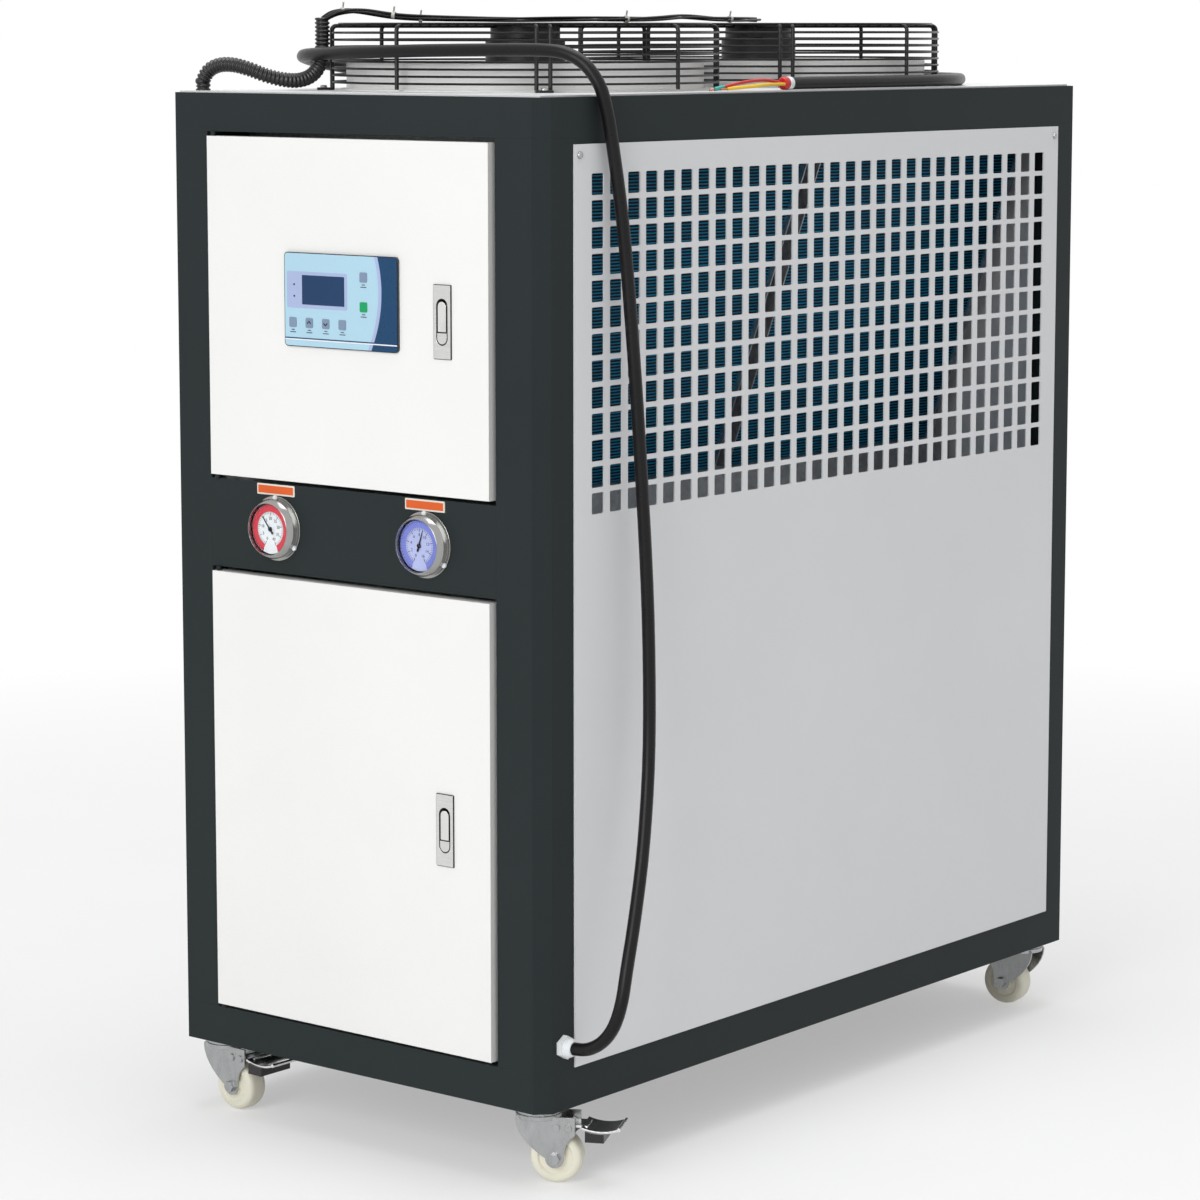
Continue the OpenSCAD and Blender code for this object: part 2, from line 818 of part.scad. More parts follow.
// Cut through a door's face for what is fitted in it
module face_cut(x, z, w, h) {
  box(
    [x - w / 2 - fit_gap, face_y - 1, z - h / 2 - fit_gap],
    [x + w / 2 + fit_gap, face_y + sheet + 1, z + h / 2 + fit_gap]
  );
}

module upper_door() {
  color(white) difference() {
    door(upper_z[0], upper_z[1]);
    face_cut(latch_x, upper_latch_z, latch_body_w, latch_body_h);
    face_cut(panel_x, panel_z, housing_w, housing_h);
  }
}

module lower_door() {
  color(white) difference() {
    door(lower_z[0], lower_z[1]);
    face_cut(latch_x, lower_latch_z, latch_body_w, latch_body_h);
  }
}

// Membrane panel with its housing behind the door
module control_panel() {
  color("#9fb6cf") union() {
    translate([panel_x, face_y, panel_z]) rotate([90, 0, 0])
      linear_extrude(panel_t) rounded(panel_w, panel_h, panel_round);
    box(
      [panel_x - housing_w / 2, face_y - eps, panel_z - housing_h / 2],
      [panel_x + housing_w / 2, face_y + housing_d, panel_z + housing_h / 2]
    );
  }
}

// Rectangle with round corners
module rounded(w, h, r) {
  union() {
    square([w - 2 * r, h], center = true);
    square([w, h - 2 * r], center = true);
    for (x = [-1, 1], y = [-1, 1]) translate([x * (w / 2 - r), y * (h / 2 - r)]) circle(r = r, $fn = 32);
  }
}

// Slot with round ends, upright, in the plane of the latch
module obround(w, h) {
  union() {
    square([w, h - w], center = true);
    for (s = [-1, 1]) translate([0, s * (h - w) / 2]) circle(d = w, $fn = 32);
  }
}

// Latch drawn face up: plate, body, recess, lever pin and the button below the lever
module latch() {
  floor_z = latch_t - recess_d;
  button_low = -recess_l / 2 + button_gap;
  button_high = lever_top - lever_l - button_gap;
  union() {
    difference() {
      union() {
        linear_extrude(latch_t) square([latch_w, latch_h], center = true);
        translate([0, 0, -latch_body_d]) linear_extrude(latch_body_d + eps)
          square([latch_body_w, latch_body_h], center = true);
      }
      translate([0, 0, floor_z]) linear_extrude(recess_d + 1) obround(recess_w, recess_l);
    }
    translate([-recess_w / 2 - 1, lever_pin_z, latch_t - lever_pin_deep])
      rotate([0, 90, 0]) cylinder(d = lever_pin_d, h = recess_w + 2);
    translate([0, 0, floor_z - eps]) linear_extrude(recess_d) intersection() {
      translate([0, button_low + recess_l / 2]) obround(button_w, recess_l);
      translate([-button_w / 2, button_low]) square([button_w, button_high - button_low]);
    }
  }
}

// Ridged lever in the upper part of the recess, hinged near its upper end
module latch_lever() {
  w = lever_w / 2;
  difference() {
    intersection() {
      translate([0, lever_top, 0]) rotate([90, 0, 0]) linear_extrude(lever_l) polygon([
        [-w, -lever_back], [w, -lever_back], [w, latch_t], [0, latch_t + lever_ridge], [-w, latch_t]
      ]);
      translate([0, lever_top - lever_l, -lever_back - 1]) linear_extrude(2 * (lever_back + 1)) union() {
        translate([-w, 0]) square([lever_w, lever_l - w]);
        translate([0, lever_l - w]) circle(r = w, $fn = 32);
      }
    }
    translate([-lever_w, lever_pin_z, latch_t - lever_pin_deep])
      rotate([0, 90, 0]) cylinder(d = lever_pin_d + 2 * running, h = 2 * lever_w);
  }
}

module at_latch(z) {
  translate([latch_x, face_y, z]) rotate([90, 0, 0]) children();
}

module upper_latch() {
  color(zinc) at_latch(upper_latch_z) latch();
}

module lower_latch() {
  color(zinc) at_latch(lower_latch_z) latch();
}

module upper_handle() {
  color(zinc) at_latch(upper_latch_z) latch_lever();
}

module lower_handle() {
  color(zinc) at_latch(lower_latch_z) latch_lever();
}

// Threaded sockets through the rear panel, with a collar on its outside
module water_ports() {
  inside = 40;
  color(zinc) for (p = PORTS)
    translate([p[0], half_l, base_z + p[1]]) rotate([-90, 0, 0]) difference() {
      union() {
        translate([0, 0, -inside]) cylinder(d = port_d, h = inside + port_out);
        translate([0, 0, sheet]) cylinder(d = port_d + 14, h = 4, $fn = 6);
      }
      cylinder(d = port_bore, h = port_out + 1);
    }
}

// Place and turn of a caster
module at_caster(i) {
  c = CASTERS[i];
  translate([c[0] * swivel_x, c[1] * swivel_y, 0]) rotate(c[2]) children();
}

module caster_plates() {
  nut_z = yoke_top_z - yoke_disc_t - swivel_gap - king_nut_h;
  color(zinc) for (c = CASTERS)
    translate([c[0] * swivel_x, c[1] * swivel_y, 0]) union() {
      translate([-plate_w / 2, -plate_w / 2, caster_h - caster_plate_t])
        cube([plate_w, plate_w, caster_plate_t]);
      translate([0, 0, race_z]) cylinder(r = race_r, h = caster_h - race_z - eps);
      translate([0, 0, nut_z]) cylinder(d = king_d, h = race_z - nut_z + eps);
      translate([0, 0, nut_z]) cylinder(r = king_nut_r, h = king_nut_h);
    }
}

// Outline of a fork leg, from the side, with the axle at its round end
module leg_outline() {
  front = [[-24, leg_top - 3], [-23, axle_z + 22], [trail - leg_round, axle_z]];
  back = [[trail + leg_round, axle_z], [trail + leg_round, pedal_z - 16], [pedal_u + 8, pedal_z - 8]];
  union() {
    polygon(concat(
      [[-22, leg_top]], bend(front[0], front[1], front[2], 6), bend(back[0], back[1], back[2], 6),
      [[pedal_u + 8, leg_top]]
    ));
    translate([trail, axle_z]) circle(r = leg_round);
  }
}

// Fork with its axle bolt; a braked one also has the pedal's pin
module yoke(braked) {
  span = 2 * (leg_in + leg_t);
  head = 5;
  color(zinc) difference() {
    union() {
      for (s = [-1, 1])
        translate([0, s * (leg_in + leg_t / 2), 0])
          rotate([90, 0, 0]) linear_extrude(leg_t, center = true) leg_outline();
      translate([0, 0, yoke_top_z - yoke_disc_t]) cylinder(r = yoke_disc_r, h = yoke_disc_t);
      translate([trail, span / 2 + head, axle_z])
        rotate([90, 0, 0]) cylinder(d = axle_d, h = span + 2 * head);
      for (s = [0, 1])
        mirror([0, s, 0])
          translate([trail, span / 2 + head, axle_z]) rotate([90, 0, 0]) cylinder(d = 14, h = head, $fn = 6);
      if (braked) {
        translate([pedal_u, span / 2 + eps, pedal_z])
          rotate([90, 0, 0]) cylinder(d = pedal_pin_d, h = span + 2 * eps);
        for (u = [pedal_u - 14, pedal_u], s = [0, 1])
          mirror([0, s, 0])
            translate([u, span / 2 + rivet_h, pedal_z])
              rotate([90, 0, 0]) cylinder(d = rivet_d, h = rivet_h + eps);
      }
    }
    translate([0, 0, yoke_top_z - yoke_disc_t - 1]) cylinder(d = king_d + 2 * running, h = yoke_disc_t + 2);
  }
}

module front_left_yoke() {
  at_caster(0) yoke(true);
}

module front_right_yoke() {
  at_caster(1) yoke(true);
}

module rear_left_yoke() {
  at_caster(2) yoke(false);
}

module rear_right_yoke() {
  at_caster(3) yoke(false);
}

// Nylon wheel with a dished face
module wheel() {
  r = wheel_d / 2;
  w = wheel_w / 2;
  bore = axle_d / 2 + running;
  edge = [r - tread_round, -w];
  far_edge = [r - tread_round, w];
  crown = concat(
    bend(edge, [r, -w], [r, tread_round - w], 5), bend([r, w - tread_round], [r, w], far_edge, 5)
  );
  color(ivory) translate([trail, 0, axle_z]) rotate([90, 0, 0]) rotate_extrude() polygon(concat([
    [bore, -w - 1.5], [11, -w - 1.5], [12, -w + 1.5], [19, -w + 2], [21, -w]
  ], crown, [
    [21, w], [19, w - 2], [12, w - 1.5], [11, w + 1.5], [bore, w + 1.5]
  ]));
}

module front_left_wheel() {
  at_caster(0) wheel();
}

module front_right_wheel() {
  at_caster(1) wheel();
}

module rear_left_wheel() {
  at_caster(2) wheel();
}

module rear_right_wheel() {
  at_caster(3) wheel();
}

// Circle that the dished tread plate is bent to, seen from the side
module dish(r) {
  translate([pedal_mid, pedal_dish_z]) circle(r = r, $fn = 180);
}

// Brake pedal: pivot block, neck and a dished tread plate with a rolled lip
module pedal() {
  block_w = 2 * (leg_in - 1.5);
  neck = pedal_start + 6;
  color(zinc) translate([pedal_u, 0, pedal_z]) difference() {
    union() {
      rotate([90, 0, 0]) cylinder(r = pedal_block_r, h = block_w, center = true);
      translate([0, -block_w / 2, 0.8]) cube([neck, block_w, pedal_t]);
      rotate([90, 0, 0]) linear_extrude(pedal_w, center = true) union() {
        intersection() {
          difference() {
            dish(pedal_dish_r + pedal_t);
            dish(pedal_dish_r);
          }
          translate([pedal_start, -pedal_reach / 2]) square([pedal_reach - pedal_start, pedal_reach]);
        }
        translate([pedal_reach, pedal_lift - pedal_lip_r / 2]) circle(r = pedal_lip_r, $fn = 24);
      }
    }
    rotate([90, 0, 0]) cylinder(d = pedal_pin_d + 2 * running, h = block_w + 2, center = true);
  }
}

// Dark brake bar fixed under the tread plate
module brake_bar() {
  color(black) translate([pedal_u, 0, pedal_z]) rotate([90, 0, 0])
    linear_extrude(pedal_w + 2 * bar_over, center = true) difference() {
      translate([bar_u[0], bar_z]) square([bar_u[1] - bar_u[0], -bar_z]);
      dish(pedal_dish_r + pedal_t);
    }
}

module front_left_pedal() {
  at_caster(0) pedal();
}

module front_right_pedal() {
  at_caster(1) pedal();
}

module front_left_brake_bar() {
  at_caster(0) brake_bar();
}

module front_right_brake_bar() {
  at_caster(1) brake_bar();
}

module conduit() {
  color(black) tube(route(CONDUIT_ROUTE, 2), conduit_d / 2, 12);
}

module motor_leads() {
  color(black) for (p = [FRONT_LEAD, REAR_LEAD]) tube(route(p, 2), lead_d / 2, 8);
}

// Gland with its hexagon and its domed cap
module cable_gland() {
  color(white) translate([half_w, gland_y, gland_z]) rotate([0, 90, 0]) union() {
    cylinder(d = gland_af / cos(30), h = 7, $fn = 6);
    rotate_extrude() polygon([
      [0, 0], [gland_af / 2 - 1, 0], [gland_af / 2 - 1, 11], [cord_d / 2 + 1, gland_l], [0, gland_l]
    ]);
  }
}

module power_cord() {
  color(black) tube(route(CORD_ROUTE, 2), cord_d / 2, 10);
}

// Three bare-ended cores that fan out past the end of the sheath
module cord_cores() {
  tail = CORD_ROUTE[len(CORD_ROUTE) - 1];
  color("#b8302c") for (i = [-1, 0, 1])
    tube(route([for (p = CORE_POINTS) tail + [i * core_spread, 0, 0] + p], 3), core_d / 2, 8);
}

base_frame();
base_pan();
front_posts();
rear_posts();
top_frame();
gauge_rail();
deck_panel();
right_side_panel();
left_side_panel();
rear_panel();
inner_bulkhead();
coil_tray();
fin_packs();
coil_end_plates();
header_pipes();
fan_rings();
front_fan_guard();
rear_fan_guard();
fan_motors();
front_fan_rotor();
rear_fan_rotor();
gauge_cases();
gauge_dials();
gauge_lenses();
label_plates();
door_hinge_pins();
upper_door();
lower_door();
control_panel();
upper_latch();
lower_latch();
upper_handle();
lower_handle();
water_ports();
caster_plates();
front_left_yoke();
front_right_yoke();
rear_left_yoke();
rear_right_yoke();
front_left_wheel();
front_right_wheel();
rear_left_wheel();
rear_right_wheel();
front_left_pedal();
front_right_pedal();
front_left_brake_bar();
front_right_brake_bar();
conduit();
motor_leads();
cable_gland();
power_cord();
cord_cores();
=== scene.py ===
"""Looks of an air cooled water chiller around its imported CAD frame. Metres, +Z up, front faces -Y."""

import json
import math

import bmesh
import bpy
from mathutils import Matrix, Vector


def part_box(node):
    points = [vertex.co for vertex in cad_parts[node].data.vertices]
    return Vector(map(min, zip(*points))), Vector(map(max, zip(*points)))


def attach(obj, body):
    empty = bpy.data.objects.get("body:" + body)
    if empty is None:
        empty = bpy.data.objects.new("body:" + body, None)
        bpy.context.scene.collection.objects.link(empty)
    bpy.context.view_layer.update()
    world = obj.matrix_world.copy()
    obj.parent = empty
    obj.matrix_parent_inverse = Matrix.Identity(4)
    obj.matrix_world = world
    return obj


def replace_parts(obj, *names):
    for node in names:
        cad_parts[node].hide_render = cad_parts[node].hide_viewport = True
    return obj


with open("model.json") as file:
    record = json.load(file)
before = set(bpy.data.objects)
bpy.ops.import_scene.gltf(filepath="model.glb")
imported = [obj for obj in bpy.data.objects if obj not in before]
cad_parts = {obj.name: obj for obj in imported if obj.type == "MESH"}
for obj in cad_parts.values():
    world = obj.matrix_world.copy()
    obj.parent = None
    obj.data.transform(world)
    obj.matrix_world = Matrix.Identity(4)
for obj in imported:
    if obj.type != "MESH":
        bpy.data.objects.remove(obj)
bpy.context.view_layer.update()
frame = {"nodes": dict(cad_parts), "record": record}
NODES = frame["nodes"]
MM = 0.001

# Places read from the frame
FACE_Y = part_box("upper_door")[0].y
FRONT_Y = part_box("base_frame")[0].y
PANEL_LO, PANEL_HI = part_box("right_side_panel")

# Directions of a flat face: local X, local Y and outward
FACES = {
    "front": ((1, 0, 0), (0, 0, 1), (0, -1, 0)),
    "rear": ((-1, 0, 0), (0, 0, 1), (0, 1, 0)),
    "right": ((0, 1, 0), (0, 0, 1), (1, 0, 0)),
    "left": ((0, -1, 0), (0, 0, 1), (-1, 0, 0)),
}


def add_object(name, data):
    """New object in the scene."""
    obj = bpy.data.objects.new(name, data)
    bpy.context.scene.collection.objects.link(obj)
    return obj


# Camera at the photograph's viewing angle
LENS, SENSOR_W, SHIFT_Y, CLIP_END = 115.06, 36.0, -0.05, 100
YAW, PITCH = math.radians(38.771), math.radians(7.624)
CAMERA_PLACE = (2.9825, -3.8058, 1.3151)


def make_camera():
    data = bpy.data.cameras.new("camera")
    data.lens = LENS
    data.sensor_width = SENSOR_W
    data.shift_y = SHIFT_Y
    data.clip_end = CLIP_END
    level = math.cos(PITCH)
    forward = Vector((-math.sin(YAW) * level, math.cos(YAW) * level, -math.sin(PITCH)))
    camera = add_object("camera", data)
    camera.location = CAMERA_PLACE
    camera.rotation_euler = forward.to_track_quat("-Z", "Y").to_euler()
    bpy.context.scene.camera = camera


make_camera()


# Colours and node helpers
def srgb(r, g, b):
    """Linear colour from values of 0 to 255."""
    def linear(v):
        v /= 255
        return v / 12.92 if v <= 0.04045 else ((v + 0.055) / 1.055) ** 2.4

    return (linear(r), linear(g), linear(b), 1.0)


def shade(color, factor):
    return tuple(min(c * factor, 1.0) for c in color[:3]) + (1.0,)


class Shader:
    """One procedural material around a Principled shader."""

    def __init__(self, name, **sockets):
        self.material = bpy.data.materials.new(name)
        self.material.use_nodes = True
        self.tree = self.material.node_tree
        self.bsdf = self.tree.nodes["Principled BSDF"]
        self.coords = self.add("ShaderNodeTexCoord").outputs["Object"]
        for socket, value in sockets.items():
            label = socket.replace("_", " ").title().replace("Ior", "IOR")
            self.bsdf.inputs[label].default_value = value

    def add(self, kind, **inputs):
        node = self.tree.nodes.new(kind)
        for key, value in inputs.items():
            self.plug(node.inputs[key.replace("_", " ").title()], value)
        return node

    def plug(self, socket, value):
        if isinstance(value, bpy.types.NodeSocket):
            self.tree.links.new(value, socket)
        else:
            socket.default_value = value

    def link(self, socket, value):
        self.plug(self.bsdf.inputs[socket], value)

    def stretched(self, scale):
        return self.add("ShaderNodeMapping", Vector=self.coords, Scale=scale).outputs[0]

    def noise(self, scale, detail=3.0, stretch=None):
        where = self.stretched(stretch) if stretch else self.coords
        return self.add("ShaderNodeTexNoise", Vector=where, Scale=scale, Detail=detail).outputs[0]

    def cells(self, scale):
        return self.add("ShaderNodeTexVoronoi", Vector=self.coords, Scale=scale).outputs["Color"]

    def ramp(self, factor, *stops):
        """Colour ramp; a stop's colour may be one number, for a grey."""
        node = self.add("ShaderNodeValToRGB", Fac=factor)
        elements = node.color_ramp.elements
        while len(elements) < len(stops):
            elements.new(0.5)
        for element, (position, color) in zip(elements, stops):
            element.position = position
            element.color = color if hasattr(color, "__len__") else (color, color, color, 1.0)
        return node.outputs["Color"]

    def vary(self, noise, low, high):
        """Goes from low to high over the middle of a noise."""
        return self.ramp(noise, (0.3, low), (0.7, high))

    def mix(self, factor, a, b):
        node = self.tree.nodes.new("ShaderNodeMix")
        node.data_type = "RGBA"
        self.plug(node.inputs["Factor"], factor)
        self.plug(self.color_socket(node.inputs, "A"), a)
        self.plug(self.color_socket(node.inputs, "B"), b)
        return self.color_socket(node.outputs, "Result")

    @staticmethod
    def color_socket(sockets, name):
        return next(s for s in sockets if s.name == name and s.type == "RGBA")

    def calculate(self, operation, a, b):
        node = self.tree.nodes.new("ShaderNodeMath")
        node.operation = operation
        self.plug(node.inputs[0], a)
        self.plug(node.inputs[1], b)
        return node.outputs[0]

    def bump(self, height, strength, distance, normal=None):
        node = self.add("ShaderNodeBump", Height=height, Strength=strength, Distance=distance)
        if normal is not None:
            self.plug(node.inputs["Normal"], normal)
        return node.outputs["Normal"]

    def edges(self, radius):
        """Rounded normal, and a mask that rises from 0 near sharp edges."""
        bevel = self.tree.nodes.new("ShaderNodeBevel")
        bevel.samples = 4
        bevel.inputs["Radius"].default_value = radius
        flat = self.tree.nodes.new("ShaderNodeNewGeometry").outputs["Normal"]
        dot = self.tree.nodes.new("ShaderNodeVectorMath")
        dot.operation = "DOT_PRODUCT"
        self.plug(dot.inputs[0], bevel.outputs["Normal"])
        self.plug(dot.inputs[1], flat)
        mask = self.calculate("SUBTRACT", 1.0, dot.outputs["Value"])
        return bevel.outputs["Normal"], mask

    def coat(self, noise, color, mottling, edge, highlight_gain, highlight_lift):
        """Mottled base colour, with a painted highlight that makes it paler along the edges."""
        base = self.vary(noise, shade(color, 1 - mottling), shade(color, 1 + mottling))
        # Painted highlight: the edge mask lifts the base colour to a paler tone near sharp edges
        painted_edge_highlight = self.calculate("MULTIPLY", edge, highlight_gain)
        self.link("Base Color", self.mix(painted_edge_highlight, base, shade(color, highlight_lift)))


# Materials
ROUGH_SPREAD = 0.06


def painted(name, color, rough, relief, highlight_gain, bevel=0.0012, mottling=0.05, **sockets):
    """Powder coat with a fine grain."""
    s = Shader(name, **sockets)
    broad = s.noise(scale=5.0, detail=5)
    fine = s.noise(scale=900.0, detail=2)
    normal, edge = s.edges(bevel)
    # The coat's paler edges are a painted highlight
    s.coat(broad, color, mottling, edge, highlight_gain, highlight_lift=1.6)
    s.link("Roughness", s.vary(fine, rough - ROUGH_SPREAD, rough + ROUGH_SPREAD))
    s.link("Normal", s.bump(fine, strength=0.25, distance=relief, normal=normal))
    return s.material


def metal(name, color, rough, stretch, scale=60.0, mottling=0.12):
    """Bare metal with a grain that may be stretched."""
    s = Shader(name, metallic=1.0)
    grain = s.noise(scale, detail=4, stretch=stretch)
    normal, edge = s.edges(radius=0.0008)
    # The coat's paler edges are a painted highlight
    s.coat(grain, color, mottling, edge, highlight_gain=0.4, highlight_lift=1.3)
    s.link("Roughness", s.ramp(grain, (0.25, rough - 0.07), (0.75, rough + 0.09)))
    s.link("Normal", s.bump(grain, strength=0.12, distance=0.00006, normal=normal))
    return s.material


def plastic(name, color, rough, mottling=0.08, **sockets):
    """Moulded plastic, rubber or ink."""
    s = Shader(name, **sockets)
    fine = s.noise(scale=300.0, detail=3)
    broad = s.noise(scale=12.0, detail=4)
    normal, edge = s.edges(radius=0.0006)
    # The coat's paler edges are a painted highlight
    s.coat(broad, color, mottling, edge, highlight_gain=0.25, highlight_lift=1.5)
    s.link("Roughness", s.vary(fine, rough - ROUGH_SPREAD, rough + ROUGH_SPREAD))
    s.link("Normal", s.bump(fine, strength=0.2, distance=0.00008, normal=normal))
    return s.material


def galvanised():
    """Zinc coated sheet with its spangle."""
    s = Shader("galvanised", metallic=0.85)
    spangle = s.cells(scale=190.0)
    s.link("Base Color", s.ramp(spangle, (0.1, (0.42, 0.43, 0.45, 1)), (0.9, (0.54, 0.55, 0.56, 1))))
    s.link("Roughness", s.ramp(spangle, (0.1, 0.38), (0.9, 0.55)))
    s.link("Normal", s.bump(s.noise(scale=300.0), strength=0.1, distance=0.0001))
    return s.material


def fin_coating():
    s = Shader("fin_coating", metallic=0.15, specular_ior_level=0.2)
    s.link("Base Color", s.vary(s.noise(scale=14.0, detail=4), srgb(0, 136, 178), srgb(0, 166, 214)))
    s.link("Roughness", s.vary(s.noise(scale=200.0), 0.32, 0.46))
    return s.material


def clear_glass():
    s = Shader("clear_glass", transmission_weight=1.0, ior=1.08)
    s.link("Base Color", s.vary(s.noise(scale=20.0), (0.94, 0.97, 0.97, 1), (1, 1, 1, 1)))
    s.link("Roughness", s.vary(s.noise(scale=40.0), 0.01, 0.04))
    return s.material


# One material for each slot of the record
MATERIALS = {
    "charcoal_frame": painted(
        "charcoal_coat", srgb(43, 49, 50), rough=0.45, relief=0.00025, highlight_gain=0.8,
        specular_ior_level=0.08,
    ),
    "grey_panel": painted(
        "grey_coat", srgb(227, 228, 230), rough=0.4, relief=0.00012, highlight_gain=0.0, bevel=0.0008,
        mottling=0.015, specular_ior_level=0.3,
    ),
    "white_door": painted(
        "white_coat", srgb(240, 240, 238), rough=0.3, relief=0.0001, highlight_gain=0.0,
        mottling=0.015, specular_ior_level=0.3,
    ),
    "fan_black": painted("fan_coat", (0.022, 0.023, 0.024, 1), rough=0.4, relief=0.0002, highlight_gain=0.6),
    "galvanised_sheet": galvanised(),
    "coil_fins": fin_coating(),
    "gauge_glass": clear_glass(),
    "copper_pipe": metal("bare_copper", (0.55, 0.21, 0.1, 1), rough=0.34, stretch=(6, 6, 1)),
    "brass_port": metal("machined_brass", (0.68, 0.5, 0.24, 1), rough=0.28, stretch=(1, 8, 1)),
    "polished_steel": metal(
        "polished_steel", (0.68, 0.68, 0.67, 1), rough=0.2, stretch=(1, 1, 12), mottling=0.05,
    ),
    "zinc_caster": metal(
        "bright_zinc", (0.4, 0.405, 0.41, 1), rough=0.28, stretch=(3, 3, 1), scale=40.0, mottling=0.06,
    ),
    "guard_wire": plastic("wire_coat", (0.012, 0.012, 0.013, 1), 0.33, specular_ior_level=0.25),
    "gauge_face": plastic("dial_paper", srgb(226, 228, 232), 0.55, 0.02),
    "orange_label": plastic("label_orange", srgb(226, 100, 44), 0.4, 0.05, specular_ior_level=0.25),
    "control_membrane": plastic("membrane_blue", srgb(176, 212, 230), 0.32, 0.02, specular_ior_level=0.25),
    "ivory_wheel": plastic("nylon_ivory", srgb(236, 232, 214), 0.34, 0.05, subsurface_weight=0.08),
    "conduit_plastic": plastic("conduit_black", (0.011, 0.011, 0.012, 1), 0.3, specular_ior_level=0.5),
    "cord_rubber": plastic("cord_rubber", (0.008, 0.008, 0.009, 1), 0.33, 0.15, specular_ior_level=0.2),
    "gland_plastic": plastic("gland_nylon", srgb(232, 236, 238), 0.38, 0.03),
    "core_insulation": plastic("core_red", srgb(196, 34, 34), 0.35, 0.05),
}

# More colours, each with its roughness and mottling: first those with little gloss
PRINTS = {
    "dial_red": (srgb(206, 66, 78), 0.5, 0.06),
    "dial_blue": (srgb(120, 128, 204), 0.5, 0.06),
    "dial_lilac": (srgb(176, 182, 222), 0.5, 0.04),
    "ink": (srgb(34, 34, 44), 0.5, 0.1),
    "navy_print": (srgb(22, 66, 104), 0.32, 0.05),
    "lilac_print": (srgb(170, 184, 220), 0.34, 0.03),
    "screen_glass": (srgb(22, 58, 98), 0.12, 0.06),
    "key_grey": (srgb(128, 146, 170), 0.4, 0.05),
    "key_green": (srgb(20, 160, 96), 0.4, 0.05),
}
PLASTICS = {
    "pale_border": (srgb(232, 226, 216), 0.4, 0.03),
    "white_print": (srgb(238, 242, 244), 0.36, 0.02),
    "core_yellow": (srgb(226, 186, 40), 0.35, 0.05),
    "core_teal": (srgb(40, 160, 150), 0.35, 0.05),
    "tie_pale": (srgb(206, 204, 198), 0.4, 0.04),
    "case_grey": (srgb(72, 76, 80), 0.45, 0.05),
    # Painted shade: dark colour of the fins' core and of the latches' edges and recesses
    "painted_shade": (srgb(26, 28, 30), 0.6, 0.1),
}
EXTRA = {name: plastic(name, *look, specular_ior_level=0.25) for name, look in PRINTS.items()}
EXTRA.update((name, plastic(name, *look)) for name, look in PLASTICS.items())
# Darker copy of the polished steel for the gauge bezels: painted dark reflections on the chrome
EXTRA["steel_painted_dark"] = metal(
    "steel_painted_dark", (0.35, 0.35, 0.34, 1), rough=0.16, stretch=(1, 1, 1), scale=90.0, mottling=0.04,
)
# Paler copy of the polished steel for the pedals and handles: painted light on the pedals, which sit in
# the frame's shadow, and a painted highlight on the handles
EXTRA["steel_painted_bright"] = metal(
    "steel_painted_bright", (0.74, 0.74, 0.73, 1), rough=0.18, stretch=(3, 3, 1), scale=40.0, mottling=0.05,
)


def dress_cad():
    """Each CAD node takes the material of its record slot, or its own material; the paler ones of the fan
    rings, pedals and handles are painted light.
    """
    own = {
        "control_panel": EXTRA["case_grey"],
        # Fan rings take the white door coat to offset their shade: painted light
        "fan_rings": MATERIALS["white_door"],
        "door_hinge_pins": MATERIALS["charcoal_frame"],
    }
    # Pedals and handles take the paler steel copy: painted light
    for node in ("front_left_pedal", "front_right_pedal", "upper_handle", "lower_handle"):
        own[node] = EXTRA["steel_painted_bright"]
    for part in frame["record"]["subparts"]:
        look = own.get(part["node"], MATERIALS[part["material_slot"]])
        for slot in NODES[part["node"]].material_slots:
            slot.material = look


dress_cad()


# Mesh helpers: a domed screw head as shares of its radius and height
DOME = ((1, 0), (1, 0.45), (0.86, 0.85), (0.5, 1), (0, 1))

# Rise of a path above which its tube starts from another direction
STEEP = 0.9


def on_face(face, point):
    """Place on a face of the cabinet, with local Z outward."""
    x, y, z = (Vector(v) for v in FACES[face])
    turn = Matrix((x, y, z)).transposed().to_4x4()
    return Matrix.Translation(point) @ turn


def turned(degrees):
    """Turn about local Z."""
    return Matrix.Rotation(math.radians(degrees), 4, "Z")


def upright(z):
    """Vector straight up."""
    return Vector((0, 0, z))


def turns(count):
    """Angles that divide a full turn evenly."""
    return [math.tau * j / count for j in range(count)]


def piece(name, bm, body, slot, *materials, sharp=35.0):
    """Finishes a mesh, gives it its materials and lets it ride on a body."""
    bmesh.ops.recalc_face_normals(bm, faces=bm.faces)
    mesh = bpy.data.meshes.new(name)
    bm.to_mesh(mesh)
    bm.free()
    for material in materials or (MATERIALS[slot],):
        mesh.materials.append(material)
    mesh.polygons.foreach_set("use_smooth", [True] * len(mesh.polygons))
    mesh.set_sharp_from_angle(angle=math.radians(sharp))
    obj = add_object(name, mesh)
    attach(obj, body)
    return obj


def ring_faces(bm, rings, closed, material):
    """Quads between each ring of points and the next."""
    count = len(rings)
    for i in range(count if closed else count - 1):
        a, b = rings[i], rings[(i + 1) % count]
        for j in range(len(a)):
            k = (j + 1) % len(a)
            bm.faces.new((a[j], a[k], b[k], b[j])).material_index = material


def end_faces(bm, rings, material):
    """Closes the first and the last ring."""
    bm.faces.new(list(reversed(rings[0]))).material_index = material
    bm.faces.new(rings[-1]).material_index = material


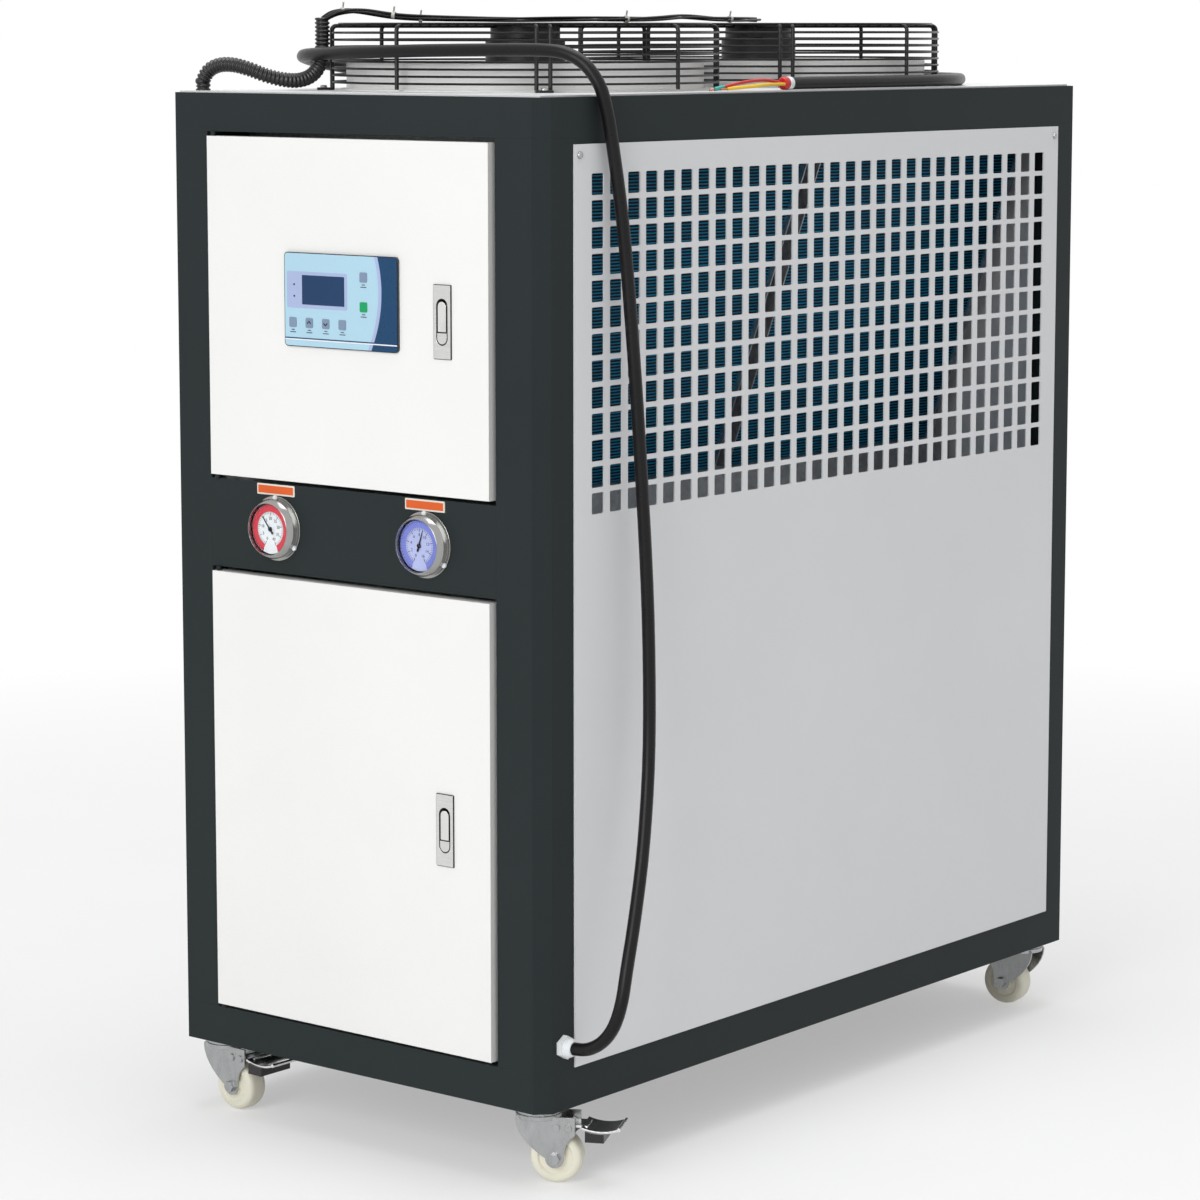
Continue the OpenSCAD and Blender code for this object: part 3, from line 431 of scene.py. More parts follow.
def sweep(bm, path, radius, sides=10, closed=False, material=0):
    """Tube along a path; radius is one number or one for each point."""
    count = len(path)
    radii = radius if hasattr(radius, "__len__") else [radius] * count
    rings = []
    side = None
    for i, point in enumerate(path):
        before = path[i - 1] if closed or i > 0 else path[i]
        after = path[(i + 1) % count] if closed or i < count - 1 else path[i]
        tangent = (after - before).normalized()
        if side is None:
            side = tangent.cross(upright(1) if abs(tangent.z) < STEEP else Vector((1, 0, 0)))
        side = (side - tangent * side.dot(tangent)).normalized()
        other = tangent.cross(side)
        around = [math.cos(a) * side + math.sin(a) * other for a in turns(sides)]
        rings.append([bm.verts.new(point + radii[i] * way) for way in around])
    ring_faces(bm, rings, closed, material)
    if not closed:
        end_faces(bm, rings, material)


def lathe(bm, place, profile, segments, material=0):
    """Turns a profile of (radius, height) about local Z; a zero radius closes the end."""
    rings = []
    for r, h in profile:
        ring = [(0, 0)] if r == 0 else disc(r, segments)
        rings.append([bm.verts.new(place @ Vector((x, y, h))) for x, y in ring])
    for a, b in zip(rings, rings[1:]):
        for j in range(segments):
            k = (j + 1) % segments
            quad = (a[j % len(a)], a[k % len(a)], b[k % len(b)], b[j % len(b)])
            bm.faces.new(dict.fromkeys(quad)).material_index = material


def outline_rings(bm, place, levels):
    """Points of each outline at its height."""
    return [[bm.verts.new(place @ Vector((x, y, h))) for x, y in shape] for shape, h in levels]


def slab(bm, place, outline, z0, z1, bevel=0.0, material=0):
    """Plate with the given outline between two heights; a bevel breaks its top edge."""
    levels = [(outline, z0), (outline, z1)]
    if bevel:
        levels = [(outline, z0), (outline, z1 - bevel), (inset(outline, bevel), z1)]
    rings = outline_rings(bm, place, levels)
    ring_faces(bm, rings, False, material)
    end_faces(bm, rings, material)


def band(bm, place, outer, inner, z0, z1, material=0):
    """Closed frame between two outlines that have as many points."""
    levels = ((outer, z0), (outer, z1), (inner, z1), (inner, z0))
    ring_faces(bm, outline_rings(bm, place, levels), True, material)


def inset(outline, amount):
    """Outline drawn in by an amount on each side."""
    xs, ys = zip(*outline)
    cx, cy = (min(xs) + max(xs)) / 2, (min(ys) + max(ys)) / 2
    fx, fy = 1 - amount / (max(xs) - cx), 1 - amount / (max(ys) - cy)
    return [(cx + (x - cx) * fx, cy + (y - cy) * fy) for x, y in outline]


def rounded(w, h, r, steps=5, centre=(0, 0)):
    """Rectangle with round corners."""
    points = []
    for i, (sx, sy) in enumerate(((1, 1), (-1, 1), (-1, -1), (1, -1))):
        for j in range(steps + 1):
            a = math.radians(90 * i + 90 * j / steps)
            points.append((
                centre[0] + sx * (w / 2 - r) + r * math.cos(a),
                centre[1] + sy * (h / 2 - r) + r * math.sin(a),
            ))
    return points


def disc(r, count, centre=(0, 0)):
    """Circle of so many points."""
    x, y = centre
    return [(x + r * math.cos(a), y + r * math.sin(a)) for a in turns(count)]


def screw(bm, place, r, height, material=0):
    """Plain domed head."""
    profile = [(r * across, height * up) for across, up in DOME]
    lathe(bm, place, profile, segments=20, material=material)


def spline_points(route, steps):
    """Catmull-Rom points through a route in millimetres, as the CAD tube uses."""
    points = [Vector(p) * MM for p in route]
    last = len(points) - 1
    out = []
    for j in range(steps * last + 1):
        i = min(j // steps, last - 1)
        u = j / steps - i
        a, b = points[max(i - 1, 0)], points[i]
        c, d = points[i + 1], points[min(i + 2, last)]
        linear = (c - a) * u
        square = (2 * a - 5 * b + 4 * c - d) * u ** 2
        cubic = (3 * b - a - 3 * c + d) * u ** 3
        out.append(0.5 * (2 * b + linear + square + cubic))
    return out


# Power cord: route points in millimetres, as in the CAD
CORD_D, CORD_STEPS = 0.015, 4
CORD_ROUTE = [
    (306, -520, 165), (326, -520, 168), (347, -520, 180), (362, -518, 200), (369, -513, 228),
    (368, -502, 265), (360, -477, 321), (347, -445, 398), (334, -419, 505),
    (326, -411, 650), (320, -415, 800), (314, -423, 950), (308, -434, 1090), (303, -448, 1188),
    (300, -455, 1226), (295, -461, 1251), (280, -467, 1273), (258, -472, 1285), (228, -476, 1289),
    (150, -480, 1289), (60, -480, 1288), (-30, -478, 1286), (-112, -463, 1284), (-180, -433, 1281),
    (-224, -371, 1275), (-247, -298, 1267), (-258, -205, 1259), (-262, -95, 1251), (-262, 25, 1248),
    (-262, 160, 1248), (-253, 304, 1248), (-185, 421, 1248), (-68, 489, 1248), (68, 489, 1248),
    (185, 421, 1248), (253, 304, 1248), (264, 160, 1248), (264, 45, 1248), (264, -70, 1248),
]

# Cores past the sheath: route points in millimetres from the sheath's end
CORE_ROUTES = (
    ((-3.6, 2, -1), (-6.5, -30, -1), (-14.3, -54.6, -3.2), (-25.2, -84, -5.4)),
    ((0.4, 2, -1), (-1.5, -34, 4), (-7.3, -72.8, 1.8), (-17.2, -112, -5.4)),
    ((3.6, 2, -1), (2.5, -26, -1), (-1.7, -63.7, -3.2), (-10.8, -98, -5.4)),
)
RED_CORE, CORE_STEPS, CORE_R, COPPER_R, BARE_L = 1, 8, 0.002, 0.0011, 0.010
SLEEVE_R, SLEEVE_BACK, SLEEVE_AHEAD = 0.0025, 0.012, 0.002

# Tape round the sheath's end: distance back along the cord in millimetres, and radius
WHITE_TAPE = ((13, 0.0072), (12, 0.0079), (5, 0.0079), (4, 0.0074))
RED_TAPE = ((4, 0.0078), (-2, 0.0078), (-4, 0.006))


def make_cord():
    path = spline_points(CORD_ROUTE, CORD_STEPS)
    data = bpy.data.curves.new("power_lead", "CURVE")
    data.dimensions = "3D"
    data.bevel_depth = CORD_D / 2
    data.bevel_resolution = 6
    data.use_fill_caps = True
    line = data.splines.new("POLY")
    line.points.add(len(path) - 1)
    for point, place in zip(line.points, path):
        point.co = (*place, 1.0)
    line.use_smooth = True
    data.materials.append(MATERIALS["cord_rubber"])
    lead = add_object("power_lead", data)
    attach(lead, "root")
    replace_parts(lead, "power_cord")
    length = sum((b - a).length for a, b in zip(path, path[1:]))
    return lead, path, length


def make_cores(end):
    """Coloured cores past the sheath, with the tape round its end."""
    bm = bmesh.new()
    red, yellow, teal, white, copper = range(5)
    for i, route in enumerate(CORE_ROUTES):
        path = spline_points([end / MM + Vector(point) for point in route], CORE_STEPS)
        sweep(bm, path, CORE_R, material=red if i == RED_CORE else yellow)
        tip = path[-1]
        ahead = (path[-1] - path[-2]).normalized()
        sweep(bm, [tip, tip + ahead * BARE_L], COPPER_R, sides=8, material=copper)
        if i == RED_CORE:
            sweep(bm, [tip - ahead * SLEEVE_BACK, tip + ahead * SLEEVE_AHEAD], SLEEVE_R, material=teal)
    for tape, colour in ((WHITE_TAPE, white), (RED_TAPE, red)):
        path = [end + Vector((0, back, 0)) * MM for back, _ in tape]
        sweep(bm, path, [r for _, r in tape], sides=24, material=colour)
    cores = piece(
        "cord_cores_fanned", bm, "root", "core_insulation", MATERIALS["core_insulation"],
        EXTRA["core_yellow"], EXTRA["core_teal"], EXTRA["white_print"], MATERIALS["copper_pipe"],
    )
    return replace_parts(cores, "cord_cores")


lead, lead_path, lead_length = make_cord()
cores = make_cores(lead_path[-1])


# Fan guards of round wire
SIDE_RINGS, TOP_RINGS, WIRE_R, RING_GAP, FIRST_RING, RING_STEPS = 8, 10, 0.0015, 0.001, 0.008, 96
ROD_R, ROD_PAIR, ROD_BEND, ROD_SUNK, ROD_LAP, BEND_STEPS = 0.0025, 0.016, 0.008, 0.0004, 0.003, 6
DISC_R, DISC_T, DISC_EDGE = 0.058, 0.003, 0.001
FOOT_T, FOOT_REACH, FOOT_MARGIN, FOOT_ROUND, FOOT_EDGE = 0.003, 0.016, 0.005, 0.004, 0.0006
FOOT_SCREW_OUT, FOOT_SCREW_R, FOOT_SCREW_H = 0.0105, 0.0042, 0.003
SINGLE_RODS, PAIRED_RODS = (0, 90, 180, 270), (45, 135, 225, 315)


def rod_lines():
    """Angle and sideways offset of each upright rod."""
    lines = [(math.radians(a), 0.0) for a in SINGLE_RODS]
    lines += [(math.radians(a), s * ROD_PAIR / 2) for a in PAIRED_RODS for s in (-1, 1)]
    return lines


def circle_path(centre, r, z):
    return [Vector((x, y, z)) for x, y in disc(r, RING_STEPS, centre.xy)]


def rod_path(base, out, r, foot_z, top_z):
    """A rod that rises from its foot, bends over the corner and runs in under the disc."""
    bend = ROD_BEND - ROD_R
    turn_r, turn_z = r - bend, top_z - ROD_BEND
    path = [base + out * r + upright(foot_z)]
    for j in range(BEND_STEPS + 1):
        a = math.radians(90 * j / BEND_STEPS)
        path.append(base + out * (turn_r + bend * math.cos(a)) + upright(turn_z + bend * math.sin(a)))
    path.append(base + out * (DISC_R - ROD_LAP) + upright(top_z - ROD_R))
    return path


def make_guard(name, node):
    lo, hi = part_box(node)
    centre = (lo + hi) / 2
    middle = Vector((centre.x, centre.y, 0))
    r = (hi.x - lo.x) / 2 - ROD_R
    top = hi.z - WIRE_R
    first = lo.z + FIRST_RING
    bm = bmesh.new()
    rise = (top - ROD_BEND - 2 * WIRE_R - RING_GAP - first) / (SIDE_RINGS - 1)
    for i in range(SIDE_RINGS):
        sweep(bm, circle_path(centre, r, first + WIRE_R + i * rise), WIRE_R, sides=6, closed=True)
    step = (r + ROD_R - ROD_BEND - 2 * WIRE_R - DISC_R) / TOP_RINGS
    for i in range(1, TOP_RINGS + 1):
        sweep(bm, circle_path(centre, DISC_R + i * step, top), WIRE_R, sides=6, closed=True)
    for angle, aside in rod_lines():
        out = Vector((math.cos(angle), math.sin(angle), 0))
        base = middle + Vector((-math.sin(angle), math.cos(angle), 0)) * aside
        sweep(bm, rod_path(base, out, r, lo.z + FOOT_T - ROD_SUNK, top), ROD_R, sides=8)
    plate = [(0, 0), (DISC_R, 0), (DISC_R, DISC_T - DISC_EDGE), (DISC_R - DISC_EDGE, DISC_T), (0, DISC_T)]
    lathe(bm, Matrix.Translation(middle + upright(hi.z - 2 * WIRE_R)), plate, segments=48)
    foot_size = (FOOT_MARGIN + FOOT_REACH, ROD_PAIR + FOOT_MARGIN)
    foot = rounded(*foot_size, FOOT_ROUND, centre=(r + FOOT_REACH / 2, 0))
    for a in PAIRED_RODS:
        place = Matrix.Translation(middle + upright(lo.z)) @ turned(a)
        slab(bm, place, foot, 0, FOOT_T, FOOT_EDGE)
        spot = place @ Matrix.Translation((r + FOOT_SCREW_OUT, 0, FOOT_T))
        screw(bm, spot, FOOT_SCREW_R, FOOT_SCREW_H, material=1)
    guard = piece(name, bm, "root", "guard_wire", MATERIALS["guard_wire"], MATERIALS["zinc_caster"])
    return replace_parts(guard, node)


make_guard("front_guard_wires", "front_fan_guard")
make_guard("rear_guard_wires", "rear_fan_guard")


# Corrugated conduit and motor leads: route points in millimetres
CONDUIT_ROUTE = [
    (-262, -520, 1240), (-262, -520, 1246), (-262, -520, 1252), (-254, -517, 1264), (-240, -513, 1270),
    (-222, -508, 1270), (-204, -500, 1265), (-189, -489, 1258), (-176, -473, 1253), (-168, -455, 1252),
    (-164, -438, 1257), (-163, -425, 1268), (-163, -419, 1285), (-163, -418, 1304), (-163, -418, 1326),
]
FRONT_LEAD = [
    (-163, -418, 1324), (-156, -405, 1332), (-140, -385, 1334), (-110, -350, 1327), (-80, -318, 1324),
    (-45, -280, 1324), (-15, -250, 1324),
]
REAR_LEAD = [
    (-157, -420, 1324), (-146, -404, 1332), (-125, -385, 1334), (-80, -360, 1327), (-10, -310, 1324),
    (60, -250, 1324), (85, -170, 1324), (75, -80, 1325), (60, 0, 1327), (50, 80, 1325), (35, 150, 1324),
    (10, 220, 1324),
]
CONDUIT_R, CONDUIT_STEPS, RIB_PITCH = 0.009, 12, 0.0048
LEAD_R, LEAD_STEPS = 0.0035, 8

# Radius along one rib, as shares of the conduit's
RIB_WAVE = (0.985, 1.0, 0.985, 0.84, 0.8, 0.84)

# Strands of a lead: their twist and the wave of their spread are in radians a metre
STRANDS, STRAND_R, STRAND_OUT, TWIST, SPREAD, SPREAD_WAVE = 3, 0.0015, 0.002, 11.0, 0.9, 23.0

# Ties round the leads: the lead and the point along it
TIES = ((FRONT_LEAD, 12), (FRONT_LEAD, 30), (REAR_LEAD, 22), (REAR_LEAD, 50), (REAR_LEAD, 76))
TIE_W, TIE_T, TAIL_R = 0.004, 0.0009, 0.0011
TAIL = Vector((0.004, -0.003, 0.007))


def resample(path, pitch):
    """Points along a path at an even distance."""
    out, carry = [path[0]], 0.0
    for a, b in zip(path, path[1:]):
        length = (b - a).length
        t = pitch - carry
        while t <= length:
            out.append(a.lerp(b, t / length))
            t += pitch
        carry = length - (t - pitch)
    return out


def make_conduit():
    bm = bmesh.new()
    path = resample(spline_points(CONDUIT_ROUTE, CONDUIT_STEPS), RIB_PITCH / len(RIB_WAVE))
    sweep(bm, path, [CONDUIT_R * RIB_WAVE[i % len(RIB_WAVE)] for i in range(len(path))], sides=20)
    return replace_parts(piece("corrugated_conduit", bm, "root", "conduit_plastic", sharp=60), "conduit")


def strand(path, index):
    """One wire of a lead, which winds loosely about the lead's path."""
    out, run = [], 0.0
    for i, point in enumerate(path):
        before, after = path[max(i - 1, 0)], path[min(i + 1, len(path) - 1)]
        run += (point - before).length
        side = (after - before).cross(upright(1)).normalized()
        angle = math.tau * index / STRANDS + TWIST * run
        reach = STRAND_OUT * (1 + SPREAD * math.sin(SPREAD_WAVE * run) ** 2)
        out.append(point + reach * math.cos(angle) * side + upright(STRAND_OUT * math.sin(angle)))
    return out


def make_leads():
    """Both leads as loose strands, held by ties with cut tails."""
    bm = bmesh.new()
    for route in (FRONT_LEAD, REAR_LEAD):
        for index in range(STRANDS):
            sweep(bm, strand(spline_points(route, LEAD_STEPS), index), STRAND_R)
    for route, index in TIES:
        path = spline_points(route, LEAD_STEPS)
        half = (path[index + 1] - path[index - 1]).normalized() * (TIE_W / 2)
        sweep(bm, [path[index] - half, path[index] + half], LEAD_R + TIE_T, sides=12, material=1)
        start = path[index] + upright(LEAD_R)
        sweep(bm, [start, start + TAIL], TAIL_R, sides=6, material=1)
    finish = (MATERIALS["cord_rubber"], EXTRA["tie_pale"])
    leads = piece("motor_lead_wires", bm, "root", "cord_rubber", *finish)
    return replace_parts(leads, "motor_leads")


make_conduit()
make_leads()


# Fin packs as rows of thin slats over a dark core, whose dark colour is painted shade for the depth
# between the fins
LEAN, FIN_PITCH, FIN_T = math.radians(20), 0.004, 0.0012
PACK_T, PACK_L, CORE_SUNK = 0.044, 0.455, 0.003


def box_between(bm, a, b):
    xs, ys, zs = ((min(p), max(p)) for p in zip(a, b))
    corners = [bm.verts.new((x, y, z)) for z in zs for y in ys for x in xs]
    for face in ((0, 2, 3, 1), (4, 5, 7, 6), (0, 1, 5, 4), (2, 6, 7, 3), (0, 4, 6, 2), (1, 3, 7, 5)):
        bm.faces.new([corners[i] for i in face])


def core_slant(bm, sx, lo, hi, depth, y0, y1):
    """Dark solid a little behind the slats' edges, so that no light passes between them; its dark colour
    is painted shade for the depth between the fins.
    """
    top = hi.x - CORE_SUNK
    foot = top - (hi.z - lo.z) * math.tan(LEAN)
    inner = depth - 2 * CORE_SUNK
    outline = ((top, hi.z), (foot, lo.z), (foot - inner, lo.z), (top - inner, hi.z))
    ends = [[bm.verts.new((sx * x, y, z)) for x, z in outline] for y in (y0, y1)]
    ring_faces(bm, ends, False, 1)
    end_faces(bm, ends, 1)


def make_fins():
    lo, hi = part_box("fin_packs")
    bm = bmesh.new()
    rows = int((hi.z - lo.z) / FIN_PITCH)
    depth = PACK_T / math.cos(LEAN)
    for sx in (1, -1):
        for y0, y1 in ((lo.y, lo.y + PACK_L), (hi.y - PACK_L, hi.y)):
            for i in range(rows):
                z = lo.z + (i + 0.5) * FIN_PITCH
                x = hi.x - (hi.z - z) * math.tan(LEAN)
                box_between(bm, (sx * x, y0, z - FIN_T / 2), (sx * (x - depth), y1, z + FIN_T / 2))
            core_slant(bm, sx, lo, hi, depth, y0, y1)
    # The dark core's colour is painted shade
    fins = piece("coil_fin_rows", bm, "root", "coil_fins", MATERIALS["coil_fins"], EXTRA["painted_shade"])
    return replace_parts(fins, "fin_packs")


make_fins()


# Gauges: rounded bezels, and faces with a coloured scale, ticks, figures and a pointer
SCALE_START, SCALE_SPAN, TICKS, NUMBER_EVERY = -65, 310, 40, 5
FLANGE_T, FLANGE_EDGE, CAN_R, MOUTH_GAP, LIP_DROP = 0.0015, 0.0004, 0.029, 0.0001, 0.0008
RIM_R, RIM_FOOT_R, RIM_LIP, RIM_ROUND, RIM_DROP = 0.0356, 0.0348, 0.0007, 0.0003, 0.0068
GAUGE_SCREWS, GAUGE_SCREW_IN, GAUGE_SCREW_R, GAUGE_SCREW_H = (90, 215, 325), 0.0022, 0.0032, 0.0026

# Places and lengths on a dial, as shares of its radius
SCALE_IN, SCALE_OUT, BORDER_IN, NEEDLE_TIP = 0.68, 0.955, 0.965, 0.62
TICK_END, LONG_TICK, SHORT_TICK = 0.67, 0.14, 0.08
OUTER_TICK_AT, OUTER_TICK, FIGURES_AT, FIGURE_SIZE = 0.9, 0.06, 0.42, 0.17

# Widths and heights on a dial
DIAL_T, FACE_H, SCALE_H, PRINT_H, BORDER_H = 0.001, 0.0002, 0.0004, 0.00045, 0.0012
OUTER_PRINT_LOW, OUTER_PRINT_HIGH, FIGURE_H, FIGURE_T = 0.0003, 0.0005, 0.0003, 0.00008
LONG_TICK_W, SHORT_TICK_W, TICK_ROUND = 0.0007, 0.0004, 0.0001
NEEDLE_TAIL, NEEDLE_TAIL_W, NEEDLE_TIP_W, NEEDLE_LOW, NEEDLE_HIGH = 0.007, 0.0024, 0.0004, 0.0012, 0.0018
HUB = ((0.0026, FACE_H), (0.0026, 0.0020), (0.0018, 0.0026), (0, 0.0026))
DIAL_SIDES, BEZEL_SIDES, HUB_SIDES, ARC_STEPS = 48, 64, 20, 40
SCALE_COLOUR, DIAL_INK = 1, 2


def arc_band(bm, place, r0, r1, start, end, z0, z1, material):
    """Flat arc between two radii and two angles in degrees."""
    angles = [math.radians(start + (end - start) * j / ARC_STEPS) for j in range(ARC_STEPS + 1)]
    outline = [(r1 * math.cos(a), r1 * math.sin(a)) for a in angles]
    outline += [(r0 * math.cos(a), r0 * math.sin(a)) for a in reversed(angles)]
    levels = outline_rings(bm, place, ((outline, z0), (outline, z1)))
    ring_faces(bm, levels, False, material)
    for level in levels:
        for j in range(ARC_STEPS):
            quad = (level[j], level[j + 1], level[-2 - j], level[-1 - j])
            bm.faces.new(quad).material_index = material


def figures(bm, place, text, size, material):
    """Flat figures centred on a place."""
    data = bpy.data.curves.new("figures", "FONT")
    data.body = text
    data.size = size
    data.extrude = FIGURE_T
    data.resolution_u = 3
    data.align_x, data.align_y = "CENTER", "CENTER"
    holder = bpy.data.objects.new("figures", data)
    mesh = holder.to_mesh()
    mesh.transform(place)
    first = len(bm.faces)
    bm.from_mesh(mesh)
    bm.faces.ensure_lookup_table()
    for face in bm.faces[first:]:
        face.material_index = material
    holder.to_mesh_clear()
    bpy.data.objects.remove(holder)
    bpy.data.curves.remove(data)


def make_bezels(places):
    """Case, flange and swelling rim of both gauges, turned in one go."""
    lo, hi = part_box("gauge_cases")
    lens_lo, lens_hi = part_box("gauge_lenses")
    flange_r, mouth_r = (hi.z - lo.z) / 2, (lens_hi.z - lens_lo.z) / 2 + MOUTH_GAP
    out, deep = FRONT_Y - lo.y, hi.y - FRONT_Y
    seat = FRONT_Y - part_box("gauge_dials")[1].y
    lip_r, wide_h = mouth_r + RIM_LIP, out - RIM_DROP
    back = [(0, -deep), (CAN_R, -deep), (CAN_R, 0), (flange_r, 0), (flange_r, FLANGE_T - FLANGE_EDGE)]
    back += [(flange_r - FLANGE_EDGE, FLANGE_T), (RIM_FOOT_R, FLANGE_T)]
    rim = [(RIM_R - RIM_ROUND, wide_h - 4 * RIM_ROUND), (RIM_R, wide_h - RIM_ROUND)]
    rim += [(RIM_R - RIM_ROUND, wide_h + RIM_ROUND)]
    rim += [(lip_r + RIM_ROUND, out - RIM_ROUND), (lip_r - RIM_ROUND, out)]
    mouth = [(mouth_r, out - LIP_DROP), (mouth_r, seat), (0, seat)]
    bm = bmesh.new()
    for place in places:
        lathe(bm, place, back + rim + mouth, BEZEL_SIDES)
    # The bezels' darker steel paints dark reflections
    bezels = piece("gauge_bezels", bm, "root", "polished_steel", EXTRA["steel_painted_dark"])
    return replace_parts(bezels, "gauge_cases")


def dial_ticks(bm, place, r, numbered):
    """Tick inside the scale and the mark across the scale, at one angle."""
    long, thick = (LONG_TICK, LONG_TICK_W) if numbered else (SHORT_TICK, SHORT_TICK_W)
    inner = rounded(r * long, thick, TICK_ROUND, steps=1, centre=(r * (TICK_END - long / 2), 0))
    outer = rounded(r * OUTER_TICK, thick, TICK_ROUND, steps=1, centre=(r * OUTER_TICK_AT, 0))
    slab(bm, place, inner, FACE_H, PRINT_H, material=DIAL_INK)
    slab(bm, place, outer, OUTER_PRINT_LOW, OUTER_PRINT_HIGH, material=DIAL_INK)


def make_dial(bm, place, r, pointer, step):
    """Face of a gauge: a plain middle, the coloured scale and ink."""
    edge = disc(r, DIAL_SIDES)
    slab(bm, place, edge, -DIAL_T, FACE_H)
    scale_end = SCALE_START + SCALE_SPAN
    arc_band(
        bm, place, r * SCALE_IN, r * SCALE_OUT, SCALE_START, scale_end, FACE_H, SCALE_H, SCALE_COLOUR,
    )
    band(bm, place, edge, disc(r * BORDER_IN, DIAL_SIDES), FACE_H, BORDER_H, DIAL_INK)
    for i in range(TICKS + 1):
        turn = turned(SCALE_START + SCALE_SPAN * i / TICKS)
        numbered = i % NUMBER_EVERY == 0
        dial_ticks(bm, place @ turn, r, numbered)
        if numbered:
            spot = Matrix.Translation(turn @ Vector((r * FIGURES_AT, 0, FIGURE_H)))
            number = step * (TICKS - i) // NUMBER_EVERY
            figures(bm, place @ spot, str(number), r * FIGURE_SIZE, DIAL_INK)
    half_tail, half_tip, tip = NEEDLE_TAIL_W / 2, NEEDLE_TIP_W / 2, r * NEEDLE_TIP
    needle = [(-NEEDLE_TAIL, -half_tail), (-NEEDLE_TAIL, half_tail), (tip, half_tip), (tip, -half_tip)]
    slab(bm, place @ turned(pointer), needle, NEEDLE_LOW, NEEDLE_HIGH, material=DIAL_INK)
    lathe(bm, place, HUB, HUB_SIDES, DIAL_INK)


def make_gauges():
    lo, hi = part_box("gauge_dials")
    r = (hi.z - lo.z) / 2
    mid_z = (hi.z + lo.z) / 2
    flange_lo, flange_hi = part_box("gauge_cases")
    screw_r = (flange_hi.z - flange_lo.z) / 2 - GAUGE_SCREW_IN
    # Name, place across, colours of the scale and the middle, pointer's angle and step of the numbers
    looks = (
        ("left_dial", lo.x + r, EXTRA["dial_red"], MATERIALS["gauge_face"], 130, 5),
        ("right_dial", hi.x - r, EXTRA["dial_blue"], EXTRA["dial_lilac"], 72, 2),
    )
    faces = []
    for name, x, ring, middle, pointer, step in looks:
        bm = bmesh.new()
        make_dial(bm, on_face("front", (x, hi.y - DIAL_T, mid_z)), r, pointer, step)
        faces.append(piece(name, bm, "root", "gauge_face", middle, ring, EXTRA["ink"]))
        bm = bmesh.new()
        for a in GAUGE_SCREWS:
            spot = on_face("front", (x, FRONT_Y - FLANGE_T, mid_z)) @ turned(a)
            screw(bm, spot @ Matrix.Translation((screw_r, 0, 0)), GAUGE_SCREW_R, GAUGE_SCREW_H)
        piece(name.replace("dial", "gauge_screws"), bm, "root", "polished_steel", EXTRA["white_print"])
    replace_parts(faces[0], "gauge_dials")
    make_bezels([on_face("front", (look[1], FRONT_Y, mid_z)) for look in looks])


make_gauges()


# Latches: a dark edge round each plate, shaped as a rubber gasket, and a dark band down the walls of its
# recess; both are painted shade, for the shadow line round the plate and the shade in the recess
EDGE_W, EDGE_T, EDGE_ROUND, PLATE_ROUND = 0.0007, 0.0014, 0.001, 0.0003
RECESS_W, RECESS_L, RECESS_SHADE_T, RECESS_SHADE_GAP = 0.017, 0.053, 0.0005, 0.0001
RECESS_SHADE_LOW, RECESS_SHADE_HIGH = -0.0085, 0.0016


def stadium(w, h):
    """Outline with half round ends."""
    return rounded(w, h, w / 2, steps=10)


def make_latch_trim(latch, door):
    lo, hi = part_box(latch)
    w, h = hi.x - lo.x, hi.z - lo.z
    place = on_face("front", ((lo.x + hi.x) / 2, FACE_Y, (lo.z + hi.z) / 2))
    bm = bmesh.new()
    outer = rounded(w + 2 * EDGE_W, h + 2 * EDGE_W, EDGE_ROUND, steps=2)
    inner = rounded(w + RECESS_SHADE_GAP, h + RECESS_SHADE_GAP, PLATE_ROUND, steps=2)
    # Painted shadow line round the plate
    band(bm, place, outer, inner, 0, EDGE_T)
    slot_w, slot_l = RECESS_W - 2 * RECESS_SHADE_GAP, RECESS_L - 2 * RECESS_SHADE_GAP
    hollow = stadium(slot_w - 2 * RECESS_SHADE_T, slot_l - 2 * RECESS_SHADE_T)
    # Painted shade on the walls of the recess
    band(bm, place, stadium(slot_w, slot_l), hollow, RECESS_SHADE_LOW, RECESS_SHADE_HIGH)
    piece(latch + "_trim", bm, door, "cord_rubber", EXTRA["painted_shade"])


make_latch_trim("upper_latch", "upper_door")
make_latch_trim("lower_latch", "lower_door")


# Label plates with a pale border, left blank
LABEL_W, LABEL_ROUND, LABEL_BEVEL = 0.06, 0.001, 0.0002
BORDER_W, FIELD_ROUND, FIELD_SUNK, FIELD_RAISED = 0.002, 0.0006, 0.0003, 0.0002


def make_labels():
    lo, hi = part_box("label_plates")
    h, thick = hi.z - lo.z, hi.y - lo.y
    border = rounded(LABEL_W, h, LABEL_ROUND, steps=2)
    field = rounded(LABEL_W - 2 * BORDER_W, h - 2 * BORDER_W, FIELD_ROUND, steps=2)
    bm = bmesh.new()
    for x in (lo.x + LABEL_W / 2, hi.x - LABEL_W / 2):
        place = on_face("front", (x, hi.y, (lo.z + hi.z) / 2))
        slab(bm, place, border, 0, thick, LABEL_BEVEL, material=1)
        slab(bm, place, field, thick - FIELD_SUNK, thick + FIELD_RAISED, material=0)
    finish = (MATERIALS["orange_label"], EXTRA["pale_border"])
    plates = piece("blank_labels", bm, "root", "orange_label", *finish)
    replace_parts(plates, "label_plates")


make_labels()


# Control panel: printed membrane with its screen and keys
FILM_T, FILM_ROUND, FILM_MARGIN, PANEL_ROUND = 0.0004, 0.0042, 0.0009, 0.005
INK_T, INK_SUNK = 0.00025, 0.0001

